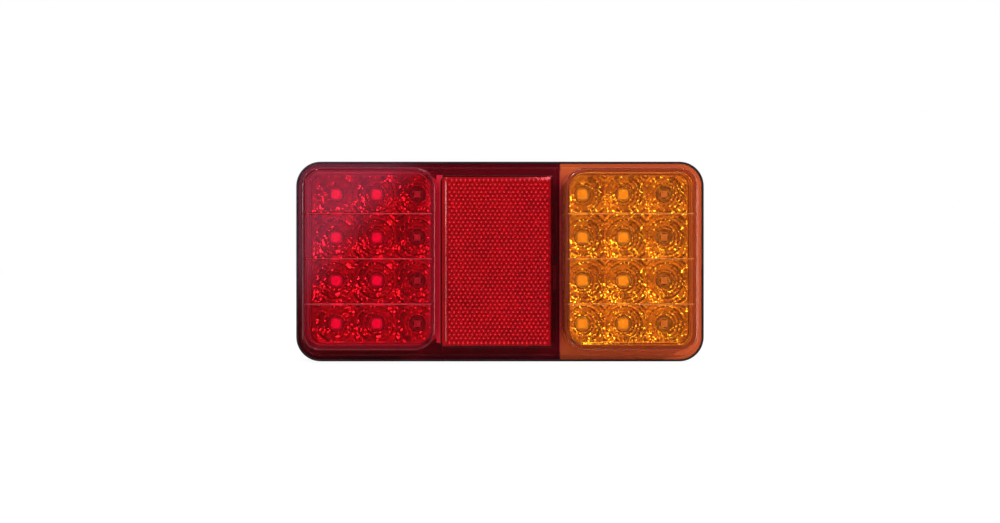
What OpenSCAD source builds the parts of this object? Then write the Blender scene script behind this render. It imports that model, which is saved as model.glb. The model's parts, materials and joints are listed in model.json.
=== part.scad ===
// Rear combination lamp for a trailer: a black tray, a red lens with twelve light emitters,
// a reflex reflector in the middle and an amber indicator lens with twelve more.
// The shapes are drawn facing up, with x across, y up the lamp and z out from the mounting face,
// and each node is then stood upright, so that the lens looks along -Y.

/* [Lamp] */
// Overall width of the lamp
lamp_w = 200; // [194:1:220]
// Overall height of the lamp
lamp_h = 98; // [94:1:112]
// Depth from the mounting face to the front of the lens
lamp_d = 30; // [29:0.5:36]
// Radius of the lamp's outer corners
lamp_corner_r = 12; // [10:0.5:16]

/* [Housing] */
// Height of the ledge that carries the lens, above the mounting face
ledge_z = 14; // [13.5:0.25:15]
// Thickness of the housing's outer wall
wall_t = 2.6; // [2.2:0.1:3]
// Thickness of the lip that stands round the lens flange
lip_t = 0.9; // [0.7:0.1:1.2]
// Height of the lip's edge above the lens flange
lip_rise = 0.5; // [0.2:0.1:1]
// Depth of the recess behind the floor
rear_recess = 2.5; // [2:0.1:2.8]
// Thickness of the floor
floor_t = 2; // [1.6:0.1:2.4]
// Thickness of the ribs in the rear recess
rib_t = 1.6; // [1.2:0.1:2.4]
// Spacing of the upright ribs
rib_pitch = 30; // [24:1:36]
// Thickness of the walls between the chambers
divider_t = 2.4; // [2:0.1:3]

/* [Lens] */
// Thickness of the lens blocks' walls and front
lens_t = 2.2; // [1.8:0.1:2.6]
// Thickness of the flange on the ledge
flange_t = 2; // [1.6:0.1:2.4]
// Clearance round the flange and its locating tongue
lens_gap = 0.1; // [0.05:0.05:0.2]
// Depth of the locating tongue below the flange
tongue_h = 2; // [1.5:0.1:3]
// Thickness of the locating tongue
tongue_t = 2.3; // [2:0.1:2.6]
// Height of the plinth above the flange
plinth_h = 2; // [1.5:0.1:2.5]
// Width of the flange that shows round the plinth, from the lamp's edge
plinth_inset = 3; // [2.5:0.1:4]
// Rounding along the plinth's edge
plinth_edge_r = 0.6; // [0.3:0.1:0.8]
// Distance of the joint between the lenses from the amber block's front face
joint_inset = 1.5; // [1.25:0.05:2]
// Width of the groove along that joint
joint_groove_w = 0.7; // [0.4:0.1:1]

/* [Lens blocks] */
// Distance from the lamp's side to the front face of a block
block_side = 6.15; // [5.5:0.05:8]
// Distance from the reflector block to the near edge of the red block's front face
block_gap = 2.45; // [2.2:0.05:3.6]
// Distance from the lamp's top to a block's front face
block_top = 4.4; // [4.2:0.1:6]
// Distance from the lamp's bottom to a block's front face
block_bottom = 6.9; // [6:0.1:8]
// Taper of a block's walls from the front to the foot
block_draft = 1.2; // [0.8:0.1:1.3]
// Corner radius at the lamp's outer corners
block_outer_r = 8; // [6:0.5:9]
// Corner radius at the near corners
block_near_r = 10; // [8:0.5:12]
// Rounding along the front edge
block_edge_r = 1.4; // [0.8:0.1:1.8]
// Width of the grooves across the front between the rows
row_groove_w = 1; // [0.6:0.1:1.6]

/* [Reflex reflector] */
// Width of the reflector block
reflex_w = 53.5; // [50:0.5:54]
// Height of the reflector block
reflex_h = 82; // [76:0.5:83]
// Place of the block's centre, right of the lamp's centre
reflex_x = -1.65; // [-1.8:0.05:-1]
// Radius of its two left corners
reflex_corner_r = 3.2; // [2:0.1:5]
// Depth of the insert that holds the prisms
reflex_depth = 5.6; // [5.2:0.1:6.4]
// Width of the bevel along its left, top and bottom edges
bevel_w = 2.7; // [1.5:0.1:3]
// Depth of that bevel
bevel_d = 1.6; // [1:0.1:1.8]
// Thickness of the clear front
reflex_front_t = 2; // [1.9:0.1:2.4]
// Width of its rim on the left, the top and the bottom
reflex_rim_w = 2.8; // [2.4:0.1:3]
// Width of its rim on the right
reflex_rim_right = 1.2; // [1:0.1:2.4]
// Distance between neighbouring corner cubes in a row
prism_pitch = 2.17; // [2.15:0.01:3]
// Thickness of the plate that closes the back of the prisms
backing_t = 1.5; // [1:0.1:1.6]
// Width of the ledge under the insert
frame_ledge = 3.4; // [3.2:0.1:4.5]

/* [Light emitters] */
// Distance from a block's near side to the centres of its nearest column
led_near = 10.35; // [10:0.05:11]
// Distance from a block's outer side to the centres of its farthest column
led_far = 12.05; // [11.7:0.05:12.9]
// Distance from a block's top and bottom to the centres of its end rows
led_end = 11.1; // [10.7:0.1:12.5]
// Side of an emitter's square body
led_size = 5; // [4:0.1:5.2]
// Height of an emitter's body
led_h = 1.2; // [0.8:0.1:1.3]
// Diameter of its resin window
led_window_d = 4.3; // [3:0.1:4.8]
// Height of the window's dome
led_dome_h = 0.35; // [0.1:0.05:0.5]

/* [Reflector bowls] */
// Height of the bowls' rim above the board
bowl_h = 12.8; // [11.5:0.1:13.5]
// Radius of the opening round an emitter
led_hole_r = 3.8; // [3.72:0.02:4]
// Radius at which the facets begin
bowl_start_r = 4.25; // [4.2:0.05:4.5]
// Depth of the plain opening below the facets
bowl_foot_h = 1.2; // [0.8:0.1:1.6]
// Facets round a bowl
bowl_facets = 12; // [8:1:16]
// Rings of facets in a bowl
bowl_rings = 5; // [3:1:6]
// Angle by which the facets are turned from the rows
bowl_turn = 5; // [2:1:8]
// Wall thickness behind the bowls
bowl_wall = 1.8; // [1.6:0.1:2.2]
// Thickness of the rim round the twelve bowls
bowl_rim_t = 1.2; // [1:0.1:1.6]
// Clearance between that rim and the lens
bowl_gap = 0.25; // [0.15:0.05:0.4]
// Diameter of the pins that locate the bowls on the board
bowl_pin_d = 2.4; // [2:0.1:2.8]
// Clearance of a locating pin or screw in its hole, each side
pin_gap = 0.1; // [0.05:0.05:0.2]

/* [Boards] */
// Height of a board's underside above the floor
board_rise = 1.1; // [1:0.05:1.4]
// Thickness of a board
board_t = 1.6; // [1.2:0.1:1.8]
// Margin of a board round its bowls
board_margin = 0.8; // [0.4:0.1:1]
// Width of the tongue that reaches into the middle chamber
tab_w = 12; // [11:0.5:16]
// Reach of that tongue beyond the divider
tab_reach = 7; // [6.5:0.5:9]
// Height of the tongue's centre above the lamp's centre
tab_y = -8; // [-12:0.5:4]
// Clearance round the tongue in the divider
tab_gap = 0.4; // [0.2:0.1:1]
// Diameter of a board screw
screw_d = 2.9; // [2.5:0.1:3.1]
// Diameter of its head
screw_head_d = 5.6; // [5:0.1:6]
// Height of its head
screw_head_h = 1.8; // [1.4:0.1:2.2]
// Length of the screw under its head
screw_len = 5.2; // [4.5:0.1:5.6]
// Length of a resistor
resistor_l = 3.2; // [2:0.1:3.4]
// Width of a resistor
resistor_w = 1.6; // [1.2:0.1:1.8]
// Height of a resistor
resistor_h = 0.6; // [0.4:0.1:0.8]
// Length of a diode
diode_l = 4.5; // [3.5:0.1:5]
// Width of a diode
diode_w = 2.6; // [2:0.1:3]
// Height of a diode
diode_h = 2.2; // [1.5:0.1:2.5]
// Diameter of the earth link lead
lead_d = 1.8; // [1.4:0.1:2.4]
// Bend radius of that lead
lead_bend_r = 2.4; // [2:0.1:3]

/* [Mounting studs] */
// Distance between the two studs
stud_pitch = 150; // [140:1:156]
// Diameter of a stud
stud_d = 5; // [4:0.5:6]
// Reach of a stud behind the mounting face
stud_reach = 20; // [12:1:30]
// Width across the flats of a stud's head
stud_head_af = 8; // [7.5:0.1:10]
// Height of a stud's head
stud_head_h = 3; // [2.6:0.1:3.1]
// Thickness of the plastic under a stud's seal
stud_seat_t = 1.4; // [1.2:0.1:1.6]
// Thickness of the seal under a stud's head
stud_seal_t = 0.9; // [0.6:0.1:1]
// Diameter of the boss round a stud's head
stud_boss_d = 16; // [14:0.5:18]
// Clearance of a stud and its head, each side
stud_gap = 0.1; // [0.05:0.05:0.2]

/* [Cable entry] */
// Bore of the grommet
cable_bore_d = 6.5; // [4:0.1:8]
// Diameter of the hole in the floor
grommet_hole_d = 11; // [10.6:0.1:13]
// Width of the grommet's flanges beyond the hole
grommet_flange = 1.8; // [1.2:0.1:2.4]
// Thickness of each flange
grommet_flange_t = 1.5; // [1:0.1:1.7]
// Height of the grommet above the lamp's lower edge
grommet_up = 21; // [19:1:25]

/* [Hidden] */
// Overlap that lets a cut run clear of a face
cut = 1;
// Overlap of a cut that may only just pass a face
skin = 0.01;
// How far solids that are joined run into each other
bite = 0.5;
// Points along a quarter of a rounded edge
edge_steps = 5;
// Least rounding of an edge inside the lens
least_edge_r = 0.3;
// Rounding of the housing's lip
lip_edge_r = 0.4;
// Corner radius of the opening behind the reflector insert
frame_corner_r = 1.5;
// Thickness between the clear front and the highest corner of a cube
prism_root = 0.2;
// Plain margin round the field of cubes
prism_margin = 0.4;
// Width of the land between two rings of facets, as a share of its radius
bowl_land = 0.004;
// Reach of the facets beyond the point where four bowls meet
bowl_overrun = 1.4;
// Growth of the rings from the middle of a bowl outwards
bowl_growth = 1.12;
// Radius of the flat end of the hollow behind the bowls
core_end_r = 1.2;
// Reach of the locating pins below a board
bowl_pin_tip = 0.6;
// Corner radius of a board
board_corner_r = 4;
// Distance of a diode from the end and the side of its board's tongue
diode_margin = 0.6;
// Thickness of a diode's lead tabs
diode_tab_t = 0.4;
// Width and depth of the cross in a screw's head
cross_w = 0.8;
cross_d = 1;
// Taper of a screw's head, each side
screw_head_taper = 0.5;
// Plastic round a board screw
screw_boss_wall = 2;
// Space below a screw's tip
screw_tip_gap = 0.4;
// Distance by which the bosses behind the floor stop short of the mounting face
boss_back = 0.4;
// Length of the lead's straight ends
lead_foot = 1;
// Step of a stud's plain shank above its thread, each side
stud_shoulder = 0.2;
// Chamfer on a stud's end
stud_chamfer = 0.7;
// Taper of the grommet's flanges, each side
grommet_taper = 0.6;
// Clearance round the grommet's outer flange
grommet_pocket_gap = 0.5;
// Wall round that flange
grommet_boss_t = 1;

// Heights above the mounting face, and the inner edge of the lens's solid rim
floor_z = rear_recess + floor_t;
flange_z = ledge_z + flange_t;
plinth_z = flange_z + plinth_h;
lip_z = flange_z + lip_rise;
rim_inner = wall_t + lens_gap + tongue_t;
board_z = floor_z + board_rise;
board_top = board_z + board_t;
bowl_z0 = board_top + bowl_foot_h;
bowl_top = board_top + bowl_h;
cavity_top = lamp_d - lens_t;
reflex_z = lamp_d - reflex_depth;

// Front faces of the blocks, drawn for the right-hand one
block_x0 = reflex_w / 2 - reflex_x + block_gap;
block_x1 = lamp_w / 2 - block_side;
block_y0 = block_bottom - lamp_h / 2;
block_y1 = lamp_h / 2 - block_top;
block_radii = [block_near_r, block_outer_r, block_outer_r, block_near_r];
joint_x = block_x0 - joint_inset;

// Outline of the bowls inside a block
cavity_slope = block_draft / (cavity_top - flange_z);
bowl_out = trimmed(cavity_slope * (cavity_top - bowl_top) - bowl_gap);
bowl_x0 = block_x0 + lens_t - bowl_out;
bowl_x1 = block_x1 - lens_t + bowl_out;
bowl_y0 = block_y0 + lens_t - bowl_out;
bowl_y1 = block_y1 - lens_t + bowl_out;
bowl_radii = [for (r = block_radii) r - lens_t + bowl_out];

// Emitters in each section, the distances between them and their centre
led_cols = 3;
led_rows = 4;
led_pitch_x = (block_x1 - block_x0 - led_near - led_far) / (led_cols - 1);
led_pitch_y = (block_y1 - block_y0 - 2 * led_end) / (led_rows - 1);
array_x = block_x0 + led_near + led_pitch_x * (led_cols - 1) / 2;
array_y = (block_y0 + block_y1) / 2;

// A paraboloid that meets the rim where four bowls meet
junction_r = norm([led_pitch_x, led_pitch_y]) / 2;
bowl_end_r = junction_r + bowl_overrun;
bowl_focus = (pow(junction_r, 2) - pow(bowl_start_r, 2)) / (bowl_top - bowl_z0);

// Outline of the reflector block
reflex_x0 = reflex_x - reflex_w / 2;
reflex_x1 = reflex_x + reflex_w / 2;
reflex_y0 = -reflex_h / 2;
reflex_y1 = reflex_h / 2;

// Field of corner cubes
prism_edge = prism_pitch / sqrt(3);
prism_step = prism_edge / sqrt(2);
prism_base_z = lamp_d - reflex_front_t - prism_root;
prism_x0 = reflex_x0 + reflex_rim_w;
prism_y0 = reflex_y0 + reflex_rim_w;
prism_cols = floor((reflex_x1 - reflex_rim_right - prism_x0) / (prism_pitch / 2));
prism_rows = floor((reflex_y1 - reflex_rim_w - prism_y0) / prism_edge - 0.5);

// Walls of the housing between the chambers, and the grommet's flanges
divider_left = -(block_x0 - block_draft);
tab_end = joint_x - divider_t / 2 - tab_reach;
grommet_y = grommet_up - lamp_h / 2;
grommet_flange_d = grommet_hole_d + 2 * grommet_flange;
stud_shank_d = stud_d + 2 * stud_shoulder;

// Names of the repeated sub-parts
led_count = led_cols * led_rows;
red_leds = [for (i = [1:led_count]) str("red_led_", i)];
amber_leds = [for (i = [1:led_count]) str("amber_led_", i)];
resistors_per_board = 4;
red_resistors = [for (i = [1:resistors_per_board]) str("red_resistor_", i)];
amber_resistors = [for (i = [1:resistors_per_board]) str("amber_resistor_", i)];

function centre_x(side) = side * array_x;
function led_x(side, i) = centre_x(side) + ((i - 1) % led_cols - (led_cols - 1) / 2) * led_pitch_x;
function led_y(i) = array_y + ((led_rows - 1) / 2 - floor((i - 1) / led_cols)) * led_pitch_y;

// Stands the lamp upright, so that z becomes -Y and y becomes +Z.
module upright() {
    rotate([90, 0, 0]) children();
}

// Puts what is drawn on the right-hand side on the left for side = -1.
module on_side(side) {
    if (side < 0) mirror([1, 0, 0]) children();
    else children();
}

// A flat rounded rectangle with one radius for all corners.
module rounded_plate(x0, x1, y0, y1, r, z0, z1) {
    translate([0, 0, z0]) linear_extrude(z1 - z0) union() {
        translate([x0 + r, y0]) square([x1 - x0 - 2 * r, y1 - y0]);
        translate([x0, y0 + r]) square([x1 - x0, y1 - y0 - 2 * r]);
        for (x = [x0 + r, x1 - r], y = [y0 + r, y1 - r]) translate([x, y]) circle(r, $fn = 48);
    }
}

// A plate that follows the lamp's outline, set in by a distance.
module lamp_plate(inset, z0, z1) {
    x = lamp_w / 2 - inset;
    y = lamp_h / 2 - inset;
    rounded_plate(-x, x, -y, y, max(lamp_corner_r - inset, 1), z0, z1);
}

// A length to a tenth of a micrometre, so that a corner and the sides it joins meet exactly.
function trimmed(v) = round(v * 10000) / 10000;

// Section of a moulded edge: a tapered wall with a rounded front edge, from the axis out to r.
function edge_section(r, z0, z1, draft, edge) =
    let (a = atan(draft / (z1 - z0)),
         centre = edge * (1 - sin(a)) * tan(a) - edge * cos(a))
    concat([[0, z0], [r + trimmed(draft), z0]],
           [for (i = [0:edge_steps]) let (t = a + (90 - a) * i / edge_steps)
               [r + trimmed(centre + edge * cos(t)), trimmed(z1 - edge + edge * sin(t))]],
           [[0, z1]]);

// A rounded block whose edge section runs right round it. The outline is the one at z1, and the
// radii are those of the corners from the lower left, counter-clockwise.
module moulded_block(x0, x1, y0, y1, radii, z0, z1, draft, edge) {
    c = [[x0 + radii[0], y0 + radii[0]], [x1 - radii[1], y0 + radii[1]],
         [x1 - radii[2], y1 - radii[2]], [x0 + radii[3], y1 - radii[3]]];
    s = min(radii);
    starts = [[x0 + s, c[0].y], [c[1].x, y0 + s], [x1 - s, c[2].y], [c[3].x, y1 - s]];
    lengths = [c[3].y - c[0].y, c[1].x - c[0].x, c[2].y - c[1].y, c[2].x - c[3].x];
    for (i = [0:3]) {
        translate(c[i]) rotate(180 + 90 * i)
            rotate_extrude(angle = 90, $fn = 96) polygon(edge_section(radii[i], z0, z1, draft, edge));
        translate(starts[i]) rotate([90, 0, 180 + 90 * i])
            linear_extrude(lengths[i]) polygon(edge_section(s, z0, z1, draft, edge));
    }
    translate([0, 0, z0]) linear_extrude(z1 - z0)
        polygon([[c[0].x, y0 + s], [c[1].x, y0 + s], c[1], [x1 - s, c[1].y],
                 [x1 - s, c[2].y], c[2], [c[2].x, y1 - s], [c[3].x, y1 - s],
                 c[3], [x0 + s, c[3].y], [x0 + s, c[0].y], c[0]]);
}

// The front of the lens over one set of emitters, from the flange up.
module lens_block() {
    foot = block_draft * (lamp_d - flange_z) / (lamp_d - plinth_z);
    moulded_block(block_x0, block_x1, block_y0, block_y1, block_radii,
                  flange_z, lamp_d, foot, block_edge_r);
}

// The space inside that block.
module lens_cavity() {
    moulded_block(block_x0 + lens_t, block_x1 - lens_t, block_y0 + lens_t, block_y1 - lens_t,
                  [for (r = block_radii) r - lens_t], flange_z - skin, cavity_top,
                  block_draft, max(block_edge_r - lens_t / 2, least_edge_r));
}

// V-grooves across the front, level with the edges between the rows of bowls.
module row_grooves() {
    side = row_groove_w / sqrt(2);
    for (k = [1:led_rows - 1])
        translate([block_x0 - cut, array_y + (k - led_rows / 2) * led_pitch_y, lamp_d])
            rotate([45, 0, 0]) translate([0, -side / 2, -side / 2])
                cube([block_x1 - block_x0 + 2 * cut, side, side]);
}

// Flange, tongue and plinth of both lenses in one, before they are parted at the joint.
module lens_rim() {
    difference() {
        union() {
            lamp_plate(wall_t + lens_gap, ledge_z - tongue_h, flange_z);
            lamp_plate(lip_t + lens_gap, ledge_z, flange_z);
            x = lamp_w / 2 - plinth_inset;
            y = lamp_h / 2 - plinth_inset;
            r = lamp_corner_r - plinth_inset;
            moulded_block(-x, x, -y, y, [r, r, r, r], ledge_z, plinth_z, 0, plinth_edge_r);
        }
        lamp_plate(rim_inner, ledge_z - tongue_h - cut, flange_z);
    }
}

// Keeps what lies between two planes across the lamp.
module between_x(x0, x1) {
    intersection() {
        children();
        translate([x0, -lamp_h, -cut]) cube([x1 - x0, 2 * lamp_h, lamp_d + 2 * cut]);
    }
}

// Groove along the parting line of the two lenses.
module joint_groove() {
    side = joint_groove_w / sqrt(2);
    for (z = [flange_z, plinth_z])
        translate([joint_x, -lamp_h / 2 - cut, z]) rotate([0, 45, 0])
            translate([-side / 2, 0, -side / 2]) cube([side, lamp_h + 2 * cut, side]);
}

module red_lens() {
    color([0.72, 0.02, 0.05, 0.6]) upright() difference() {
        union() {
            between_x(-lamp_w, joint_x) lens_rim();
            on_side(-1) lens_block();
            rounded_plate(reflex_x0, reflex_x1, reflex_y0, reflex_y1, reflex_corner_r,
                          flange_z, reflex_z);
        }
        on_side(-1) lens_cavity();
        on_side(-1) row_grooves();
        joint_groove();
        rounded_plate(reflex_x0 + frame_ledge, reflex_x1 - frame_ledge,
                      reflex_y0 + frame_ledge, reflex_y1 - frame_ledge, frame_corner_r,
                      flange_z - cut, reflex_z + cut);
    }
}

module amber_lens() {
    color([0.95, 0.45, 0.05, 0.6]) upright() difference() {
        union() {
            between_x(joint_x, lamp_w) lens_rim();
            lens_block();
        }
        lens_cavity();
        row_grooves();
        joint_groove();
    }
}

// Outline of the reflector insert: rounded on the left, square on the right.
module reflex_outline() {
    r = reflex_corner_r;
    translate([reflex_x0 + r, reflex_y0]) square([reflex_w - r, reflex_h]);
    translate([reflex_x0, reflex_y0 + r]) square([reflex_w, reflex_h - 2 * r]);
    for (y = [reflex_y0 + r, reflex_y1 - r]) translate([reflex_x0 + r, y]) circle(r, $fn = 48);
}

// The insert's outer form, with its bevelled left, top and bottom edges.
module reflex_form() {
    intersection() {
        translate([0, 0, reflex_z]) linear_extrude(reflex_depth) reflex_outline();
        translate([reflex_x0 - cut, 0, 0]) rotate([90, 0, 90]) linear_extrude(reflex_w + 2 * cut)
            polygon([[reflex_y0, reflex_z], [reflex_y1, reflex_z], [reflex_y1, lamp_d - bevel_d],
                     [reflex_y1 - bevel_w, lamp_d], [reflex_y0 + bevel_w, lamp_d],
                     [reflex_y0, lamp_d - bevel_d]]);
        translate([0, reflex_y1 + cut, 0]) rotate([90, 0, 0]) linear_extrude(reflex_h + 2 * cut)
            polygon([[reflex_x0, reflex_z], [reflex_x1, reflex_z], [reflex_x1, lamp_d],
                     [reflex_x0 + bevel_w, lamp_d], [reflex_x0, lamp_d - bevel_d]]);
    }
}

// Corner cubes in a hexagonal field. Seen square on, a corner-cube array is a triangular lattice
// whose points take three heights in turn, which makes every rhombus a true square of a cube.
function prism_class(k, m) = (m + 2 * (k % 2)) % 3;
function prism_point(k, m) = [
    prism_x0 + k * prism_pitch / 2,
    prism_y0 + (m + (k % 2) / 2) * prism_edge,
    prism_base_z - prism_step * prism_class(k, m)];

module prism_field() {
    nk = prism_cols + 1;
    nm = prism_rows + 1;
    top = lamp_d - reflex_front_t + bite;
    function lifted(k, m) = [prism_point(k, m).x, prism_point(k, m).y, top];
    low = [for (k = [0:nk - 1], m = [0:nm - 1]) prism_point(k, m)];
    ends = [for (k = [0:nk - 1], m = [0, nm - 1]) lifted(k, m)];
    flanks = [for (k = [0, nk - 1], m = [0:nm - 1]) lifted(k, m)];
    function at(k, m) = k * nm + m;
    function up(k, e) = nk * nm + 2 * k + e;
    function flank(s, m) = m == 0 || m == nm - 1 ? up(s * (nk - 1), m == 0 ? 0 : 1)
        : nk * nm + 2 * nk + s * nm + m;
    even = [for (k = [0:2:nk - 2], m = [0:nm - 2]) each
        [[at(k, m), at(k + 1, m), at(k, m + 1)],
         [at(k, m + 1), at(k + 1, m), at(k + 1, m + 1)]]];
    odd = [for (k = [1:2:nk - 2], m = [0:nm - 2]) each
        [[at(k, m), at(k + 1, m + 1), at(k, m + 1)],
         [at(k, m), at(k + 1, m), at(k + 1, m + 1)]]];
    end_walls = [for (k = [0:nk - 2]) each
        [[at(k + 1, 0), at(k, 0), up(k, 0), up(k + 1, 0)],
         [at(k, nm - 1), at(k + 1, nm - 1), up(k + 1, 1), up(k, 1)]]];
    flank_walls = [for (m = [0:nm - 2]) each
        [[at(0, m), at(0, m + 1), flank(0, m + 1), flank(0, m)],
         [at(nk - 1, m + 1), at(nk - 1, m), flank(1, m), flank(1, m + 1)]]];
    lid = [for (k = [1:nk - 3]) [up(k, 0), up(k, 1), up(k + 1, 1), up(k + 1, 0)]];
    lid_left = concat([up(1, 1), up(1, 0)], [for (m = [0:nm - 1]) flank(0, m)]);
    lid_right = concat([up(nk - 2, 0), up(nk - 2, 1)], [for (m = [nm - 1:-1:0]) flank(1, m)]);
    polyhedron(concat(low, ends, flanks),
               concat(even, odd, end_walls, flank_walls, lid, [lid_left, lid_right]));
}

// The space that holds the corner cubes, less a clearance all round.
module prism_recess(gap, z0, z1) {
    inset = gap - prism_margin;
    translate([prism_x0 + inset, prism_y0 + inset, z0])
        cube([reflex_x1 - reflex_rim_right - prism_x0 - 2 * inset,
              reflex_h - 2 * reflex_rim_w - 2 * inset, z1 - z0]);
}

module reflex_reflector() {
    color([0.75, 0.03, 0.08, 0.8]) upright() union() {
        difference() {
            reflex_form();
            prism_recess(0, reflex_z - cut, lamp_d - reflex_front_t);
        }
        prism_field();
    }
}

// Plate that keeps dirt and water off the prisms. It lies on the ledge of the lens.
module reflex_backing_plate() {
    color([0.5, 0.5, 0.5]) upright() prism_recess(lens_gap, reflex_z, reflex_z + backing_t);
}

// A stepped bowl: rings of flat facets, each ring turned by half a facet from the one below, with
// a narrow land between them. Every loop of corners is turned by half a facet where a land lies.
module bowl_cutter() {
    n = bowl_facets;
    land = (1 + bowl_land) / cos(180 / n);
    function ring_r(k) = bowl_start_r
        + (bowl_end_r - bowl_start_r) * pow(k / bowl_rings, bowl_growth);
    function ring_z(k) = bowl_z0 + (pow(ring_r(k), 2) - pow(bowl_start_r, 2)) / bowl_focus;
    loops = [for (k = [0:bowl_rings - 1]) each
        [[k == 0 ? ring_r(0) : ring_r(k) * land, ring_z(k), k], [ring_r(k + 1), ring_z(k + 1), k]]];
    points = [for (l = loops, i = [0:n - 1])
        let (a = bowl_turn + (i + l[2] / 2) * 360 / n) [l[0] * cos(a), l[0] * sin(a), l[1]]];
    walls = [for (j = [0:len(loops) - 2], i = [0:n - 1])
        let (p = j * n + i, q = j * n + (i + 1) % n, turned = loops[j + 1][2] > loops[j][2])
        each (turned ? [[p, p + n, q], [p + n, q + n, q]] : [[p, p + n, q + n, q]])];
    last = (len(loops) - 1) * n;
    polyhedron(points, concat(
        [[for (i = [0:n - 1]) i]],
        walls,
        [[for (i = [n - 1:-1:0]) last + i]]));
}

// Core that hollows the back of the reflector where four bowls meet.
module junction_core() {
    function core_r(z) = junction_r - bowl_wall - (z < bowl_z0 ? bowl_start_r
        : sqrt(pow(bowl_start_r, 2) + bowl_focus * (z - bowl_z0)));
    top = bowl_z0 + (pow(junction_r - bowl_wall - core_end_r, 2) - pow(bowl_start_r, 2)) / bowl_focus;
    steps = [for (i = [0:4]) bowl_z0 + (top - bowl_z0) * i / 4];
    rotate_extrude($fn = 64) polygon(concat(
        [[0, board_top - cut], [core_r(0), board_top - cut]],
        [for (z = steps) [core_r(z), z]],
        [[0, top]]));
}

module bowl_outline(inset, z0, z1) {
    radii = [for (r = bowl_radii) r - inset];
    moulded_block(bowl_x0 + inset, bowl_x1 - inset, bowl_y0 + inset, bowl_y1 - inset,
                  radii, z0, z1, 0, skin);
}

// Metallised moulding with twelve faceted bowls, a thin rim and two locating pins.
module reflector_bowls(side) {
    upright() {
        difference() {
            on_side(side) bowl_outline(0, board_top, bowl_top);
            intersection() {
                on_side(side) bowl_outline(bowl_rim_t, board_top - cut, bowl_top + cut);
                for (i = [1:led_count]) translate([led_x(side, i), led_y(i), 0]) bowl_cutter();
            }
            for (i = [1:led_count]) translate([led_x(side, i), led_y(i), board_top - cut])
                cylinder(r = led_hole_r, h = bowl_foot_h + 1.2 * cut, $fn = 48);
            intersection() {
                on_side(side) bowl_outline(bowl_rim_t, board_top - cut, bowl_top);
                for (i = [0:led_cols], j = [0:led_rows])
                    translate([centre_x(side) + (i - led_cols / 2) * led_pitch_x,
                               array_y + (j - led_rows / 2) * led_pitch_y, 0]) junction_core();
            }
        }
        pin_root = max(board_top + bite, bowl_z0 - bowl_wall
            + (pow((led_pitch_x - bowl_pin_d) / 2, 2) - pow(bowl_start_r, 2)) / bowl_focus);
        for (p = pin_places(side)) translate([p.x, p.y, board_z - bowl_pin_tip])
            cylinder(d = bowl_pin_d, h = pin_root - board_z + bowl_pin_tip, $fn = 32);
    }
}

// The pins stand under the ridges between two bowls of one row, and reach up into them.
function pin_places(side) = [
    [centre_x(side) - led_pitch_x / 2, led_y(1)],
    [centre_x(side) + led_pitch_x / 2, led_y(led_count)]];

module red_reflector_bowls() {
    color([0.85, 0.8, 0.8]) reflector_bowls(-1);
}

module amber_reflector_bowls() {
    color([0.85, 0.83, 0.78]) reflector_bowls(1);
}

// The screws stand under the meeting points of four bowls, in the outer two rows of them.
function screw_places(side) = [for (i = [-1, 1], j = [-1, 1])
    [centre_x(side) + i * led_pitch_x / 2, array_y + j * led_pitch_y]];

module board(side) {
    x0 = bowl_x0 - board_margin;
    x1 = bowl_x1 + board_margin;
    upright() difference() {
        union() {
            on_side(side) rounded_plate(x0, x1, bowl_y0 - board_margin, bowl_y1 + board_margin,
                                        board_corner_r, board_z, board_top);
            on_side(side) translate([tab_end, tab_y - tab_w / 2, board_z])
                cube([x0 - tab_end + 2 * board_corner_r, tab_w, board_t]);
        }
        for (p = screw_places(side)) translate([p.x, p.y, board_z - cut])
            cylinder(d = screw_d + 2 * pin_gap, h = board_t + 2 * cut, $fn = 32);
        for (p = pin_places(side)) translate([p.x, p.y, board_z - cut])
            cylinder(d = bowl_pin_d + 2 * pin_gap, h = board_t + 2 * cut, $fn = 32);
    }
}

module red_led_board() {
    color([0.9, 0.9, 0.88]) board(-1);
}

module amber_led_board() {
    color([0.9, 0.9, 0.88]) board(1);
}

// A square body with a domed resin window.
module led(side, i) {
    nick = led_size / 5;
    dome_r = (pow(led_window_d / 2, 2) + pow(led_dome_h, 2)) / (2 * led_dome_h);
    upright() translate([led_x(side, i), led_y(i), board_top]) {
        difference() {
            translate([-led_size / 2, -led_size / 2, 0]) cube([led_size, led_size, led_h]);
            translate([led_size / 2, led_size / 2, led_h]) rotate(45)
                cube([nick, led_size, led_h], center = true);
        }
        intersection() {
            translate([0, 0, led_h + led_dome_h - dome_r]) sphere(dome_r, $fn = 96);
            translate([0, 0, led_h / 2]) cylinder(d = led_window_d, h = led_h, $fn = 48);
        }
    }
}

// Two resistors lie side by side in each of the two middle pockets.
module resistor(side, i) {
    column = (i % 2 == 0) ? 1 : -1;
    row = (i > 2) ? 1 : -1;
    upright() translate([centre_x(side) + column * led_pitch_x / 2,
                         array_y + row * resistor_w, board_top + resistor_h / 2])
        cube([resistor_l, resistor_w, resistor_h], center = true);
}

module diode(side) {
    upright() on_side(side)
        translate([tab_end + diode_margin, tab_y - tab_w / 2 + diode_margin, board_top]) union() {
            translate([diode_tab_t, 0, 0]) cube([diode_l - 2 * diode_tab_t, diode_w, diode_h]);
            translate([0, diode_w / 4, 0]) cube([diode_l, diode_w / 2, diode_tab_t]);
        }
}

module red_diode() {
    color([0.12, 0.12, 0.12]) diode(-1);
}

module amber_diode() {
    color([0.12, 0.12, 0.12]) diode(1);
}

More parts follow.
